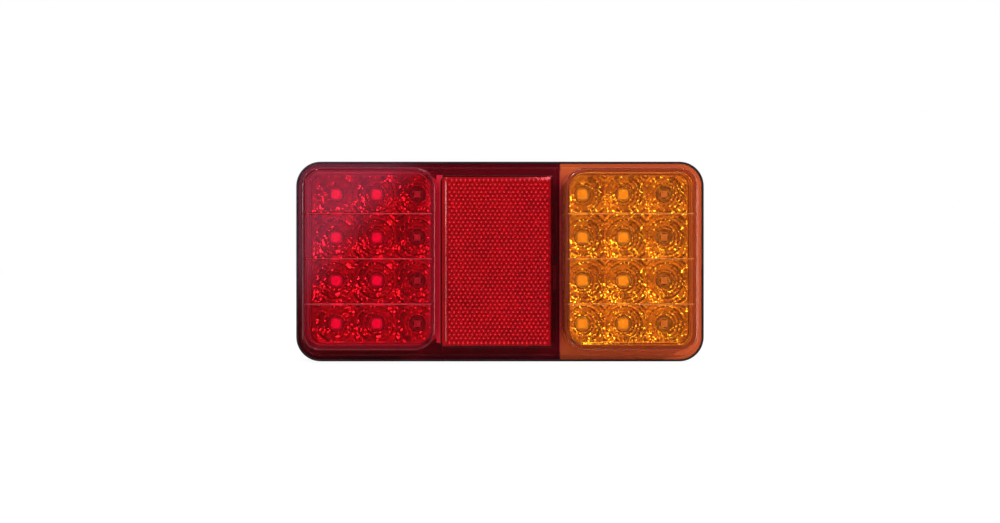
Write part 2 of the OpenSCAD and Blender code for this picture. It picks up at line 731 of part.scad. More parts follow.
// Pan-head screws that hold the boards to the housing.
module board_screws() {
    slot = screw_head_d / 2;
    color([0.75, 0.75, 0.72]) upright() for (side = [-1, 1], p = screw_places(side))
        translate([p.x, p.y, board_top]) difference() {
            union() {
                translate([0, 0, -screw_len]) cylinder(d = screw_d, h = screw_len + bite, $fn = 32);
                cylinder(d1 = screw_head_d, d2 = screw_head_d - 2 * screw_head_taper,
                         h = screw_head_h, $fn = 48);
            }
            for (a = [0, 90]) rotate(a) translate([-slot / 2, -cross_w / 2, screw_head_h - cross_d])
                cube([slot, cross_w, cross_d + cut]);
        }
}

// Lead that joins the two boards' earths across the middle chamber, standing in both boards' pads.
module earth_link_lead() {
    end_x = tab_end + lead_d;
    y = tab_y + tab_w / 4;
    z = board_top + lead_foot;
    color([0.08, 0.08, 0.08]) upright() translate([0, y, z]) {
        for (side = [-1, 1]) on_side(side) translate([end_x, 0, 0]) {
            translate([0, 0, -lead_foot]) cylinder(d = lead_d, h = lead_foot, $fn = 24);
            translate([-lead_bend_r, 0, 0]) rotate([90, 0, 0]) rotate_extrude(angle = 90, $fn = 64)
                translate([lead_bend_r, 0]) circle(d = lead_d, $fn = 24);
        }
        translate([lead_bend_r - end_x, 0, lead_bend_r]) rotate([0, 90, 0])
            cylinder(d = lead_d, h = 2 * (end_x - lead_bend_r), $fn = 24);
    }
}

module at_studs() {
    for (side = [-1, 1]) translate([side * stud_pitch / 2, 0, 0]) children();
}

// Hexagon-headed studs, held from inside the housing.
module mounting_studs() {
    head_z = stud_seat_t + stud_seal_t;
    color([0.78, 0.76, 0.7]) upright() at_studs() union() {
        translate([0, 0, head_z]) cylinder(d = stud_head_af / cos(30), h = stud_head_h, $fn = 6);
        cylinder(d = stud_shank_d, h = head_z + bite, $fn = 48);
        translate([0, 0, stud_chamfer - stud_reach])
            cylinder(d = stud_d, h = stud_reach - stud_chamfer + bite, $fn = 48);
        translate([0, 0, -stud_reach])
            cylinder(d1 = stud_d - 2 * stud_chamfer, d2 = stud_d, h = stud_chamfer, $fn = 48);
    }
}

// Flat rubber rings under the heads of the studs.
module stud_seals() {
    color([0.05, 0.05, 0.05]) upright() at_studs() translate([0, 0, stud_seat_t]) difference() {
        cylinder(d = stud_head_af - 2 * stud_gap, h = stud_seal_t, $fn = 48);
        translate([0, 0, -cut])
            cylinder(d = stud_shank_d + 2 * stud_gap, h = stud_seal_t + 2 * cut, $fn = 48);
    }
}

// Rubber grommet in the floor, with an open bore where the cable enters.
module cable_grommet() {
    slim_d = grommet_flange_d - 2 * grommet_taper;
    color([0.04, 0.04, 0.04]) upright() translate([0, grommet_y, rear_recess]) difference() {
        union() {
            translate([0, 0, -grommet_flange_t])
                cylinder(d1 = slim_d, d2 = grommet_flange_d, h = grommet_flange_t, $fn = 64);
            cylinder(d = grommet_hole_d, h = floor_t, $fn = 64);
            translate([0, 0, floor_t])
                cylinder(d1 = grommet_flange_d, d2 = slim_d, h = grommet_flange_t, $fn = 64);
        }
        translate([0, 0, -grommet_flange_t - cut])
            cylinder(d = cable_bore_d, h = floor_t + 2 * grommet_flange_t + 2 * cut, $fn = 48);
    }
}

// Ribs behind the floor, level with the mounting face. The level ones run through the screws' bosses.
module rear_ribs() {
    upright_ribs = floor((lamp_w / 2 - 2 * wall_t) / rib_pitch);
    w = lamp_w - 2 * wall_t + 2 * bite;
    h = lamp_h - 2 * wall_t + 2 * bite;
    for (k = [-upright_ribs:upright_ribs]) translate([k * rib_pitch - rib_t / 2, -h / 2, 0])
        cube([rib_t, h, rear_recess + bite]);
    for (j = [-1, 1]) translate([-w / 2, array_y + j * led_pitch_y - rib_t / 2, 0])
        cube([w, rib_t, rear_recess + bite]);
}

// Black tray: floor, walls with a ledge for the lens, chamber walls, bosses and rear ribs.
module base_housing() {
    grommet_pocket_d = grommet_flange_d + 2 * grommet_pocket_gap;
    r = lamp_corner_r;
    notch_y = tab_w / 2 + tab_gap;
    color([0.06, 0.06, 0.07]) upright() difference() {
        union() {
            difference() {
                moulded_block(-lamp_w / 2, lamp_w / 2, -lamp_h / 2, lamp_h / 2, [r, r, r, r],
                              0, lip_z, 0, lip_edge_r);
                lamp_plate(wall_t, floor_z, lip_z + cut);
                lamp_plate(lip_t, ledge_z, lip_z + cut);
                lamp_plate(wall_t, -cut, rear_recess);
            }
            rear_ribs();
            at_studs() cylinder(d = stud_boss_d, h = stud_seat_t + stud_seal_t + stud_head_h, $fn = 64);
            for (side = [-1, 1], p = screw_places(side)) translate([p.x, p.y, boss_back])
                cylinder(d = screw_d + 2 * screw_boss_wall, h = board_z - boss_back, $fn = 48);
            translate([0, grommet_y, boss_back])
                cylinder(d = grommet_pocket_d + 2 * grommet_boss_t, h = rear_recess, $fn = 64);
            for (x = [divider_left, joint_x]) divider(x);
        }
        at_studs() stud_pocket();
        for (side = [-1, 1], p = screw_places(side))
            translate([p.x, p.y, board_top - screw_len - screw_tip_gap])
                cylinder(d = screw_d + 2 * pin_gap, h = screw_len + cut, $fn = 32);
        translate([0, grommet_y, -cut])
            cylinder(d = grommet_pocket_d, h = rear_recess + cut, $fn = 64);
        translate([0, grommet_y, 0]) cylinder(d = grommet_hole_d, h = floor_z + cut, $fn = 64);
        for (x = [divider_left, joint_x])
            translate([x - divider_t, tab_y - notch_y, board_z - tab_gap])
                cube([2 * divider_t, 2 * notch_y, board_t + 2 * tab_gap]);
    }
}

// A wall between two chambers. It fits inside the lens's tongue and carries the plinth.
module divider(x) {
    full_h = lamp_h - 2 * wall_t + 2 * bite;
    inner_h = lamp_h - 2 * (rim_inner + lens_gap);
    translate([x - divider_t / 2, -full_h / 2, floor_z - bite])
        cube([divider_t, full_h, ledge_z - tongue_h - lens_gap - floor_z + bite]);
    translate([x - divider_t / 2, -inner_h / 2, floor_z - bite])
        cube([divider_t, inner_h, flange_z - floor_z + bite]);
}

// Hole and hexagon pocket for one stud.
module stud_pocket() {
    translate([0, 0, -cut]) cylinder(d = stud_shank_d + 2 * stud_gap, h = floor_z + 2 * cut, $fn = 48);
    translate([0, 0, stud_seat_t])
        cylinder(d = (stud_head_af + 2 * stud_gap) / cos(30), h = floor_z + stud_head_h, $fn = 6);
}

base_housing();
red_lens();
amber_lens();
reflex_reflector();
reflex_backing_plate();
red_reflector_bowls();
amber_reflector_bowls();
red_led_board();
amber_led_board();
board_screws();
red_diode();
amber_diode();
earth_link_lead();
mounting_studs();
stud_seals();
cable_grommet();
for (i = [1:led_count]) color([0.9, 0.2, 0.15]) led(-1, i);
for (i = [1:led_count]) color([1, 0.7, 0.2]) led(1, i);
for (i = [1:resistors_per_board])
    color([0.1, 0.1, 0.1]) resistor(-1, i);
for (i = [1:resistors_per_board])
    color([0.1, 0.1, 0.1]) resistor(1, i);
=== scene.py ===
import json
import math
import random
from functools import partial

import bmesh
import bpy
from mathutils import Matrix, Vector


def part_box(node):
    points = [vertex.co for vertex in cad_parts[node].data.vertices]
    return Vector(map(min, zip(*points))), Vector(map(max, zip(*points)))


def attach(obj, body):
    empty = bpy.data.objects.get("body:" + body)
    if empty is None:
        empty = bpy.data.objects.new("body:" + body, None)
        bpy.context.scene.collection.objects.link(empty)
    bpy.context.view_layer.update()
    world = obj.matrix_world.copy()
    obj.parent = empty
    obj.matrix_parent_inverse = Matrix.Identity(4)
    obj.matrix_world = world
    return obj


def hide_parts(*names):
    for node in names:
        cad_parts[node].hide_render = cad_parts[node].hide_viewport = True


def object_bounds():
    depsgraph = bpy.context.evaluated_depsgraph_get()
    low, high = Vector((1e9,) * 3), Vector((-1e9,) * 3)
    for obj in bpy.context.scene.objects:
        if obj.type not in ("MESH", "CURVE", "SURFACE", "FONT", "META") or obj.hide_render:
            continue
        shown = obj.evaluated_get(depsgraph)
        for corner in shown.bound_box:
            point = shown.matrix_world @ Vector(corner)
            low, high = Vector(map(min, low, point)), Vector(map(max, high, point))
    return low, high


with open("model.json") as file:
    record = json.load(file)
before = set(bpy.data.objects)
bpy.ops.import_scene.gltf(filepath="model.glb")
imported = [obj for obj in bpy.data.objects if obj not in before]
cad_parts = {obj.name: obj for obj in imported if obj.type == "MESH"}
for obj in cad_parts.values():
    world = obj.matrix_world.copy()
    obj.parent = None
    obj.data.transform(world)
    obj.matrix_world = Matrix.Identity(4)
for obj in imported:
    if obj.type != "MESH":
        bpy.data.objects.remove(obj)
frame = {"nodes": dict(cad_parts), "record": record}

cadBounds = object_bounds()
nodes = frame["nodes"]
mm = 0.001
tau = 2 * math.pi
square = 1e-4  # radius that stands for a square corner, in mm
mergeGap, leastEdge = 2e-7, 1e-7  # in metres


# Helpers for meshes. Shapes are drawn in mm on the lamp's face: x across, y up, z out of the mounting face

def stood(x, y, z):
    return Vector((x * mm, -z * mm, y * mm))


# Extents of a CAD node in face coordinates: ((x0, x1), (y0, y1), (z0, z1)) in mm
def faceBox(node):
    low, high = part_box(node)
    return ((low.x / mm, high.x / mm), (low.z / mm, high.z / mm), (-high.y / mm, -low.y / mm))


# Points round a rounded rectangle, counter-clockwise from the lower left corner
def roundedOutline(x0, x1, y0, y1, radii, steps=12):
    corners = [(x0, y0, 1, 1, 180), (x1, y0, -1, 1, 270), (x1, y1, -1, -1, 0), (x0, y1, 1, -1, 90)]
    points = []
    for (cx, cy, sx, sy, start), r in zip(corners, radii):
        for i in range(steps + 1):
            a = math.radians(start + 90 * i / steps)
            points.append((cx + sx * r + r * math.cos(a), cy + sy * r + r * math.sin(a)))
    return points


# Points round a circle. turn is the share of a step by which the first one is turned
def circleOutline(x, y, r, sides, turn=0.0):
    angles = [tau * (i + turn) / sides for i in range(sides)]
    return [(x + r * math.cos(a), y + r * math.sin(a)) for a in angles]


# Collects points and faces of one piece in face coordinates
class Shape:
    def __init__(self):
        self.points, self.faces = [], []

    def loop(self, outline, z):
        start = len(self.points)
        self.points += [(x, y, z) for x, y in outline]
        return list(range(start, len(self.points)))

    def wall(self, a, b):
        n = len(a)
        self.faces += [(a[i], a[(i + 1) % n], b[(i + 1) % n], b[i]) for i in range(n)]

    def cap(self, a):
        cx = sum(self.points[i][0] for i in a) / len(a)
        cy = sum(self.points[i][1] for i in a) / len(a)
        self.points.append((cx, cy, self.points[a[0]][2]))
        centre = len(self.points) - 1
        self.faces += [(a[i], a[(i + 1) % len(a)], centre) for i in range(len(a))]

    # Joins outlines of equal length, given as (points, z). A closed stack has caps on both ends
    def stack(self, outlines, closed=True):
        loops = [self.loop(o, z) for o, z in outlines]
        for a, b in zip(loops, loops[1:]):
            self.wall(a, b)
        if closed:
            self.cap(loops[0])
            self.cap(loops[-1])
        return loops

    # A turned solid about an axis that points out of the face. The profile is (radius, z) pairs
    def turned(self, x, y, profile, sides=24):
        self.stack([(circleOutline(x, y, r, sides), z) for r, z in profile])


def piece(name, shape, material, replaced=(), smooth=None):
    mesh = bpy.data.meshes.new(name)
    mesh.from_pydata([stood(*p) for p in shape.points], [], shape.faces)
    dress(name, mesh, material, replaced, smooth)


# Cleans a mesh, turns its faces outwards and hands the piece to the frame
def dress(name, mesh, material, replaced=(), smooth=None):
    bm = bmesh.new()
    bm.from_mesh(mesh)
    bmesh.ops.remove_doubles(bm, verts=bm.verts, dist=mergeGap)
    bmesh.ops.dissolve_degenerate(bm, edges=bm.edges, dist=leastEdge)
    bmesh.ops.recalc_face_normals(bm, faces=bm.faces)
    bm.to_mesh(mesh)
    bm.free()
    if smooth is not None:
        mesh.shade_smooth()
        mesh.set_sharp_from_angle(angle=math.radians(smooth))
    if material:
        mesh.materials.clear()
        mesh.materials.append(material)
    mesh.name = name
    obj = bpy.data.objects.new(name, mesh)
    bpy.context.scene.collection.objects.link(obj)
    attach(obj, "root")
    if replaced:
        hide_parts(*replaced)


# The result of an object's modifiers as a plain mesh. The object itself goes
def evaluated(obj, name):
    graph = bpy.context.evaluated_depsgraph_get()
    mesh = bpy.data.meshes.new_from_object(obj.evaluated_get(graph))
    mesh.name = name
    bpy.data.objects.remove(obj)
    return mesh


# Helpers for materials

def newMaterial(name, baseColor, values=None):
    material = bpy.data.materials.new(name)
    material.use_nodes = True
    shader = material.node_tree.nodes["Principled BSDF"]
    shader.inputs["Base Color"].default_value = (*baseColor, 1)
    for label, value in (values or {}).items():
        shader.inputs[label].default_value = (*value, 1) if isinstance(value, tuple) else value
    return material, shader


# Sets an input to a plain number or colour, or links another node's output to it
def feed(tree, socket, value):
    if isinstance(value, (int, float)):
        socket.default_value = value
    elif isinstance(value, tuple):
        socket.default_value = (*value, 1)
    else:
        tree.links.new(value, socket)


# The next three take plain values or the outputs of other nodes, and return their own output
def mathsNode(tree, operation, *values):
    node = tree.nodes.new("ShaderNodeMath")
    node.operation = operation
    for socket, value in zip(node.inputs, values):
        feed(tree, socket, value)
    return node.outputs[0]


def rangeNode(tree, value, fromMin, fromMax, toMin=0.0, toMax=1.0, interpolation="LINEAR"):
    node = tree.nodes.new("ShaderNodeMapRange")
    node.interpolation_type = interpolation
    labels = ("Value", "From Min", "From Max", "To Min", "To Max")
    for label, given in zip(labels, (value, fromMin, fromMax, toMin, toMax)):
        feed(tree, node.inputs[label], given)
    return node.outputs[0]


def blendNode(tree, factor, first, second):
    node = tree.nodes.new("ShaderNodeMix")
    node.data_type = "RGBA"
    for index, value in ((0, factor), (6, first), (7, second)):  # 6 and 7 are the node's two colours
        feed(tree, node.inputs[index], value)
    return node.outputs[2]


def groupTree(name, inputs, outputs):
    tree = bpy.data.node_groups.new(name, "ShaderNodeTree")
    for label, kind, value in inputs:
        socket = tree.interface.new_socket(label, in_out="INPUT", socket_type=kind)
        if value is not None:
            socket.default_value = value
    for label, kind in outputs:
        tree.interface.new_socket(label, in_out="OUTPUT", socket_type=kind)
    return tree, tree.nodes.new("NodeGroupInput"), tree.nodes.new("NodeGroupOutput")


# Moulded surface: two sizes of grain as a normal, and a roughness that wanders
def grainGroup():
    tree, given, out = groupTree(
        "moulded grain",
        [("Grain Size", "NodeSocketFloat", 2500.0), ("Grain Height", "NodeSocketFloat", 0.3),
         ("Wave Size", "NodeSocketFloat", 60.0), ("Wave Height", "NodeSocketFloat", 0.1),
         ("Roughness", "NodeSocketFloat", 0.4), ("Roughness Spread", "NodeSocketFloat", 0.1)],
        [("Normal", "NodeSocketVector"), ("Roughness", "NodeSocketFloat")])
    new, link = tree.nodes.new, tree.links.new
    coords = new("ShaderNodeTexCoord")
    fine, wave = new("ShaderNodeTexNoise"), new("ShaderNodeTexNoise")
    for noise, size in ((fine, "Grain Size"), (wave, "Wave Size")):
        link(coords.outputs["Object"], noise.inputs["Vector"])
        link(given.outputs[size], noise.inputs["Scale"])
    fineBump, waveBump = new("ShaderNodeBump"), new("ShaderNodeBump")
    for bump, depth in ((fineBump, 0.1), (waveBump, 1.0)):
        bump.inputs["Distance"].default_value = depth * mm
    link(given.outputs["Grain Height"], fineBump.inputs["Strength"])
    link(given.outputs["Wave Height"], waveBump.inputs["Strength"])
    link(fine.outputs["Fac"], fineBump.inputs["Height"])
    link(wave.outputs["Fac"], waveBump.inputs["Height"])
    link(waveBump.outputs["Normal"], fineBump.inputs["Normal"])
    link(fineBump.outputs["Normal"], out.inputs["Normal"])
    around = mathsNode(tree, "SUBTRACT", wave.outputs["Fac"], 0.5)
    spread, middle = given.outputs["Roughness Spread"], given.outputs["Roughness"]
    link(mathsNode(tree, "MULTIPLY_ADD", around, spread, middle), out.inputs["Roughness"])
    return tree


grain = grainGroup()


# Puts the grain group on a material. Without a roughness only the normal is used
def addGrain(material, shader, roughness, grains):
    tree = material.node_tree
    node = tree.nodes.new("ShaderNodeGroup")
    node.node_tree = grain
    for label, value in (grains or {}).items():
        node.inputs[label].default_value = value
    tree.links.new(node.outputs["Normal"], shader.inputs["Normal"])
    if roughness is not None:
        node.inputs["Roughness"].default_value = roughness
        tree.links.new(node.outputs["Roughness"], shader.inputs["Roughness"])


tint = {"detail": 6, "from": 0.35, "to": 0.65}


# A finish whose base colour wanders between a dark and a light shade, with the grain over it
def mottled(name, baseColor, dark, light, scale, roughness, grains=None, values=None):
    material, shader = newMaterial(name, baseColor, values)
    tree = material.node_tree
    coords = tree.nodes.new("ShaderNodeTexCoord")
    noise = tree.nodes.new("ShaderNodeTexNoise")
    noise.inputs["Scale"].default_value = scale
    noise.inputs["Detail"].default_value = tint["detail"]
    ramp = tree.nodes.new("ShaderNodeValToRGB")
    for stop, place, shade in zip(ramp.color_ramp.elements, (tint["from"], tint["to"]), (dark, light)):
        stop.position = place
        stop.color = (*shade, 1)
    tree.links.new(coords.outputs["Object"], noise.inputs["Vector"])
    tree.links.new(noise.outputs["Fac"], ramp.inputs["Fac"])
    tree.links.new(ramp.outputs["Color"], shader.inputs["Base Color"])
    addGrain(material, shader, roughness, grains)
    return material


print("materials")
black = mottled("black ABS", (0.012, 0.012, 0.014), (0.010, 0.010, 0.012), (0.018, 0.018, 0.020), 90, 0.42,
                {"Grain Height": 0.35, "Wave Height": 0.04, "Roughness Spread": 0.16},
                {"Specular IOR Level": 0.5})


# In mm on the face: the blocks' outline and how far inside it their walls show, the top of the flange, and
# the gap between the red block and the reflex reflector, with the strength of the gap's painted glow
lens = {"blockX": 62.35, "blockY": 1.25, "halfX": 31.5, "halfY": 43.35, "wallIn": 4.6, "wallOut": 2.2,
        "flangeTop": 18.5, "flangeSoft": 0.2, "gapX": -29.6, "gapHalf": 1.4, "gapHalfY": 41.0,
        "gapPaintedGlow": 0.6, "ior": 1.49, "bodyRoughness": 0.12,
        "waves": {"Grain Height": 0.0, "Wave Size": 45.0, "Wave Height": 0.012}}


# Clear tinted acrylic. The flange, which lies on the housing, the walls of the block, seen down their whole
# depth, and the gap also show some of the plastic's own colour. The shares say how much, place by place.
# The gap also glows with painted light in the plastic's colour, standing in for light it would catch
def lensMaterial(name, baseColor, bodyColor, shares):
    v = lens
    material, clear = newMaterial(name, baseColor,
                                  {"Transmission Weight": 1.0, "Roughness": 0.0, "IOR": v["ior"]})
    addGrain(material, clear, None, v["waves"])
    tree = material.node_tree
    new, link, maths = tree.nodes.new, tree.links.new, partial(mathsNode, tree)

    def away(coordinate, middle):
        return maths("ABSOLUTE", maths("SUBTRACT", coordinate, middle * mm))

    split = new("ShaderNodeSeparateXYZ")
    link(new("ShaderNodeTexCoord").outputs["Object"], split.inputs[0])
    across, up = split.outputs["X"], split.outputs["Z"]
    # how far outside a block's outline a point lies, below zero within it
    beside = maths("SUBTRACT", away(maths("ABSOLUTE", across), v["blockX"]), v["halfX"] * mm)
    above = maths("SUBTRACT", away(up, v["blockY"]), v["halfY"] * mm)
    outside = maths("MAXIMUM", beside, above)
    onBlock = rangeNode(tree, outside, -v["wallIn"] * mm, -v["wallOut"] * mm,
                        shares["block"], shares["wall"])
    inGap = maths("MULTIPLY", maths("LESS_THAN", away(across, v["gapX"]), v["gapHalf"] * mm),
                  maths("LESS_THAN", away(up, v["blockY"]), v["gapHalfY"] * mm))
    onFlange = rangeNode(tree, inGap, 0.0, 1.0, shares["flange"], shares["gap"])
    share = rangeNode(tree, split.outputs["Y"], -(v["flangeTop"] + v["flangeSoft"]) * mm,
                      -(v["flangeTop"] - v["flangeSoft"]) * mm, onBlock, onFlange)
    body, mix = new("ShaderNodeBsdfPrincipled"), new("ShaderNodeMixShader")
    body.inputs["Base Color"].default_value = (*bodyColor, 1)
    body.inputs["Roughness"].default_value = v["bodyRoughness"]
    # in the gap the body glows with painted light in the plastic's colour
    link(blendNode(tree, inGap, (0.0, 0.0, 0.0), bodyColor), body.inputs["Emission Color"])
    body.inputs["Emission Strength"].default_value = v["gapPaintedGlow"]
    link(share, mix.inputs["Fac"])
    link(clear.outputs[0], mix.inputs[1])
    link(body.outputs[0], mix.inputs[2])
    link(mix.outputs[0], tree.nodes["Material Output"].inputs["Surface"])
    return material


redBulk = (0.75, 0.02, 0.05)
redGlass = lensMaterial("red acrylic", (0.73, 0.045, 0.075), redBulk,
                        {"flange": 0.10, "block": 0.04, "wall": 0.15, "gap": 0.5})
insertGlass = lensMaterial("red insert acrylic", (0.75, 0.045, 0.065), redBulk,
                           {"flange": 0.04, "block": 0.04, "wall": 0.04, "gap": 0.04})
amberGlass = lensMaterial("amber acrylic", (0.98, 0.47, 0.09), (0.95, 0.17, 0.05),
                          {"flange": 0.5, "block": 0.06, "wall": 0.12, "gap": 0.5})

bright, shader = newMaterial("metallised plastic", (0.90, 0.88, 0.87), {"Metallic": 1.0})
addGrain(bright, shader, 0.08, {"Grain Height": 0.22, "Grain Size": 700.0, "Wave Size": 160.0,
                                "Wave Height": 0.10, "Roughness Spread": 0.08})

# The prisms glow faintly with painted light, and each tip glows brightly as a painted glint
prismBackWithPaintedGlow = mottled("moulded prisms", (0.80, 0.28, 0.32), (0.74, 0.22, 0.26), (0.86, 0.34, 0.38), 60, 0.3,
                    {"Grain Height": 0.05, "Roughness Spread": 0.2},
                    {"Emission Color": (1.0, 0.25, 0.30), "Emission Strength": 0.06})
prismTipWithPaintedGlint = mottled("prism tips with painted glints", (0.95, 0.80, 0.80), (0.90, 0.70, 0.70), (1.0, 0.92, 0.92), 60, 0.2,
                   {"Grain Height": 0.05}, {"Emission Color": (1.0, 0.80, 0.80), "Emission Strength": 1.1})
greyPlate = mottled("grey plate", (0.35, 0.35, 0.35), (0.30, 0.30, 0.30), (0.38, 0.38, 0.38), 120, 0.5)
mask = mottled("white solder mask", (0.85, 0.85, 0.82), (0.80, 0.80, 0.77), (0.88, 0.88, 0.85), 400, 0.35,
               {"Grain Size": 1200.0, "Grain Height": 0.2}, {"Coat Weight": 0.4, "Coat Roughness": 0.2})


# An emitter body that glows with painted light of the given colour and strength
def emitterBody(name, glowColor, glow):
    return mottled(name, (0.86, 0.85, 0.82), (0.80, 0.79, 0.76), (0.89, 0.88, 0.85), 700, 0.45, None,
                   {"Emission Color": glowColor, "Emission Strength": glow})


# The emitters are not switched on: the glow of their bodies and resin is painted light, for light that falls
# on them
redPaintedGlowBody = emitterBody("emitter body with painted red glow", (1.0, 0.04, 0.30), 0.45)
amberPaintedGlowBody = emitterBody("emitter body with painted amber glow", (1.0, 0.60, 0.15), 0.40)
shadedColumnBody = emitterBody("emitter body of the shaded column, faint painted glow", (1.0, 1.0, 1.0), 0.03)

redPaintedGlowResin = mottled("resin with painted red glow", (0.9, 0.10, 0.25), (0.80, 0.08, 0.22), (0.95, 0.12, 0.28),
                   900, 0.25, None,
                   {"Emission Color": (1.0, 0.02, 0.40), "Emission Strength": 1.0, "Coat Weight": 0.3})
amberPaintedGlowResin = mottled("resin with painted amber glow", (0.85, 0.62, 0.15), (0.78, 0.56, 0.12), (0.90, 0.68, 0.18), 900,
                     0.25, None,
                     {"Emission Color": (1.0, 0.60, 0.10), "Emission Strength": 0.75, "Coat Weight": 0.3})
# In the shaded column the resin is painted dark, for painted shade, and the body has only a faint painted
# glow
shadedColumnResin = mottled("resin with painted shade", (0.16, 0.13, 0.11), (0.12, 0.10, 0.09), (0.20, 0.16, 0.14),
                   900, 0.3, None, {"Coat Weight": 0.3})
# the bare chip glows faintly with painted light
paintedGlowChip = mottled("emitter chip with painted glow", (0.80, 0.60, 0.56), (0.74, 0.54, 0.50), (0.86, 0.66, 0.62), 1500, 0.35,
                   None, {"Emission Color": (1.0, 0.50, 0.50), "Emission Strength": 0.28})

steel = mottled("zinc plate", (0.70, 0.69, 0.65), (0.60, 0.59, 0.56), (0.76, 0.75, 0.70), 260, 0.32,
                {"Grain Size": 900.0, "Roughness Spread": 0.3}, {"Metallic": 1.0})
rubber = mottled("black rubber", (0.022, 0.022, 0.023), (0.018, 0.018, 0.019), (0.034, 0.034, 0.034), 300,
                 0.7, {"Grain Size": 1400.0, "Grain Height": 0.5}, {"Specular IOR Level": 0.35})
epoxy = mottled("moulded epoxy", (0.03, 0.03, 0.03), (0.02, 0.02, 0.02), (0.045, 0.045, 0.045), 500, 0.55)
sheath = mottled("lead sheath", (0.02, 0.02, 0.02), (0.015, 0.015, 0.015), (0.03, 0.03, 0.03), 300, 0.4)

slotLooks = {
    "black_housing": black, "red_lens": redGlass, "amber_lens": amberGlass, "reflex_red": insertGlass,
    "grey_plastic": greyPlate, "bright_reflector": bright, "circuit_board": mask,
    "red_emitter": redPaintedGlowResin, "amber_emitter": amberPaintedGlowResin, "black_component": epoxy,
    "black_rubber": rubber, "lead_sheath": sheath, "plated_steel": steel}
for part in frame["record"]["subparts"]:
    for place in nodes[part["node"]].material_slots:
        place.material = slotLooks[part["material_slot"]]


# Reflector bowls: twelve paraboloids of pillow facets in rings, cut where neighbours meet

bowls = {"facets": (18, 18, 24, 24, 36, 24, 36), "tilts": (24, 28, 22, 30, 24, 32, 26), "rays": 144,
         "outFacet": 3, "pillow": 0.15, "growth": 1.05, "reach": 1.4, "riserRun": 0.03, "parting": 0.01,
         "holeR": 3.8, "startR": 4.25, "footH": 1.2, "rimT": 1.2, "rimFoot": 0.05, "rimEdge": 0.15,
         "nearR": 8.34, "outerR": 6.34, "pinR": 1.2, "pinEdge": 0.3, "pinSink": 0.2, "crease": 14,
         "seed": 11, "spread": 0.55, "skew": 0.8}


def ledCentres(colour):
    centres = []
    for i in range(1, 13):
        (x0, x1), (y0, y1), _ = faceBox(f"{colour}_led_{i}")
        centres.append(((x0 + x1) / 2, (y0 + y1) / 2))
    return centres


# Whether a point is within a rounded rectangle. radii are those of the lower left corner and on round
def insideRounded(x, y, box, radii):
    x0, x1, y0, y1 = box
    if not (x0 <= x <= x1 and y0 <= y <= y1):
        return False
    for cx, cy, sx, sy, r in ((x0, y0, 1, 1, radii[0]), (x1, y0, -1, 1, radii[1]),
                              (x1, y1, -1, -1, radii[2]), (x0, y1, 1, -1, radii[3])):
        px, py = cx + sx * r, cy + sy * r
        if (x - px) * sx < 0 and (y - py) * sy < 0 and math.hypot(x - px, y - py) > r:
            return False
    return True


# For each ray of a bowl: its angle and how far it runs to the cell's edge. Four rays are turned to meet the
# cell's corners, and rays that leave the rim's rounded outline are cut back to it
def cellRays(centre, cell, inner, radii, rays):
    cx, cy = centre
    close, nudge, beyond = 1e-7, 1e-4, 99
    angles = [tau * j / rays for j in range(rays)]
    for px, py in ((cell[0], cell[2]), (cell[1], cell[2]), (cell[1], cell[3]), (cell[0], cell[3])):
        a = math.atan2(py - cy, px - cx) % tau
        angles[round(a / tau * rays) % rays] = a
    for a in angles:
        c, s = math.cos(a), math.sin(a)
        sideways = max((cell[0] - cx) / c, (cell[1] - cx) / c) if abs(c) > close else beyond
        upright = max((cell[2] - cy) / s, (cell[3] - cy) / s) if abs(s) > close else beyond
        far = min(sideways, upright)
        nearly = far - nudge
        rounded = not insideRounded(cx + nearly * c, cy + nearly * s, inner, radii)
        low, high = 0.0, far
        while rounded and high - low > close:
            mid = (low + high) / 2
            if insideRounded(cx + mid * c, cy + mid * s, inner, radii):
                low = mid
            else:
                high = mid
        yield a, low if rounded else far


# Height and skew of every facet's pillow, the same in all the bowls
def facetForms():
    chance = random.Random(bowls["seed"])
    spread, skew = bowls["spread"], bowls["skew"]
    return [[(1 + chance.uniform(-spread, spread), chance.uniform(-skew, skew), chance.uniform(-skew, skew))
             for _ in range(facets)] for facets in bowls["facets"]]


# Points (radius, z) up one ray: the opening, then ring after ring of tilted treads with risers between
def bowlColumn(angle, far, ringR, base, forms, boardZ, footZ):
    v = bowls
    column = [(v["holeR"], boardZ), (v["holeR"], footZ), (v["startR"], footZ)]
    for k, (facets, tilt) in enumerate(zip(v["facets"], v["tilts"])):
        start = ringR[k] + (v["riserRun"] if k else 0)
        width = ringR[k + 1] - start
        turn = angle / tau * facets + 0.5 * (k % 2)
        high, skewAcross, skewOut = forms[k][int(turn + 1e-6) % facets]  # an edge belongs to the next facet
        across = 2 * (turn % 1) - 1
        for i in range(v["outFacet"] + 1):
            r = min(start + width * i / v["outFacet"], far)
            out = 2 * i / v["outFacet"] - 1
            bulge = (1 - across ** 2) * (1 - out ** 2) * (1 + skewAcross * across + skewOut * out)
            z = base(ringR[k]) + (r - start) * math.tan(math.radians(tilt)) + v["pillow"] * high * bulge
            column.append((r, z) if start < far else column[-1])
    return column + [(far, boardZ)]


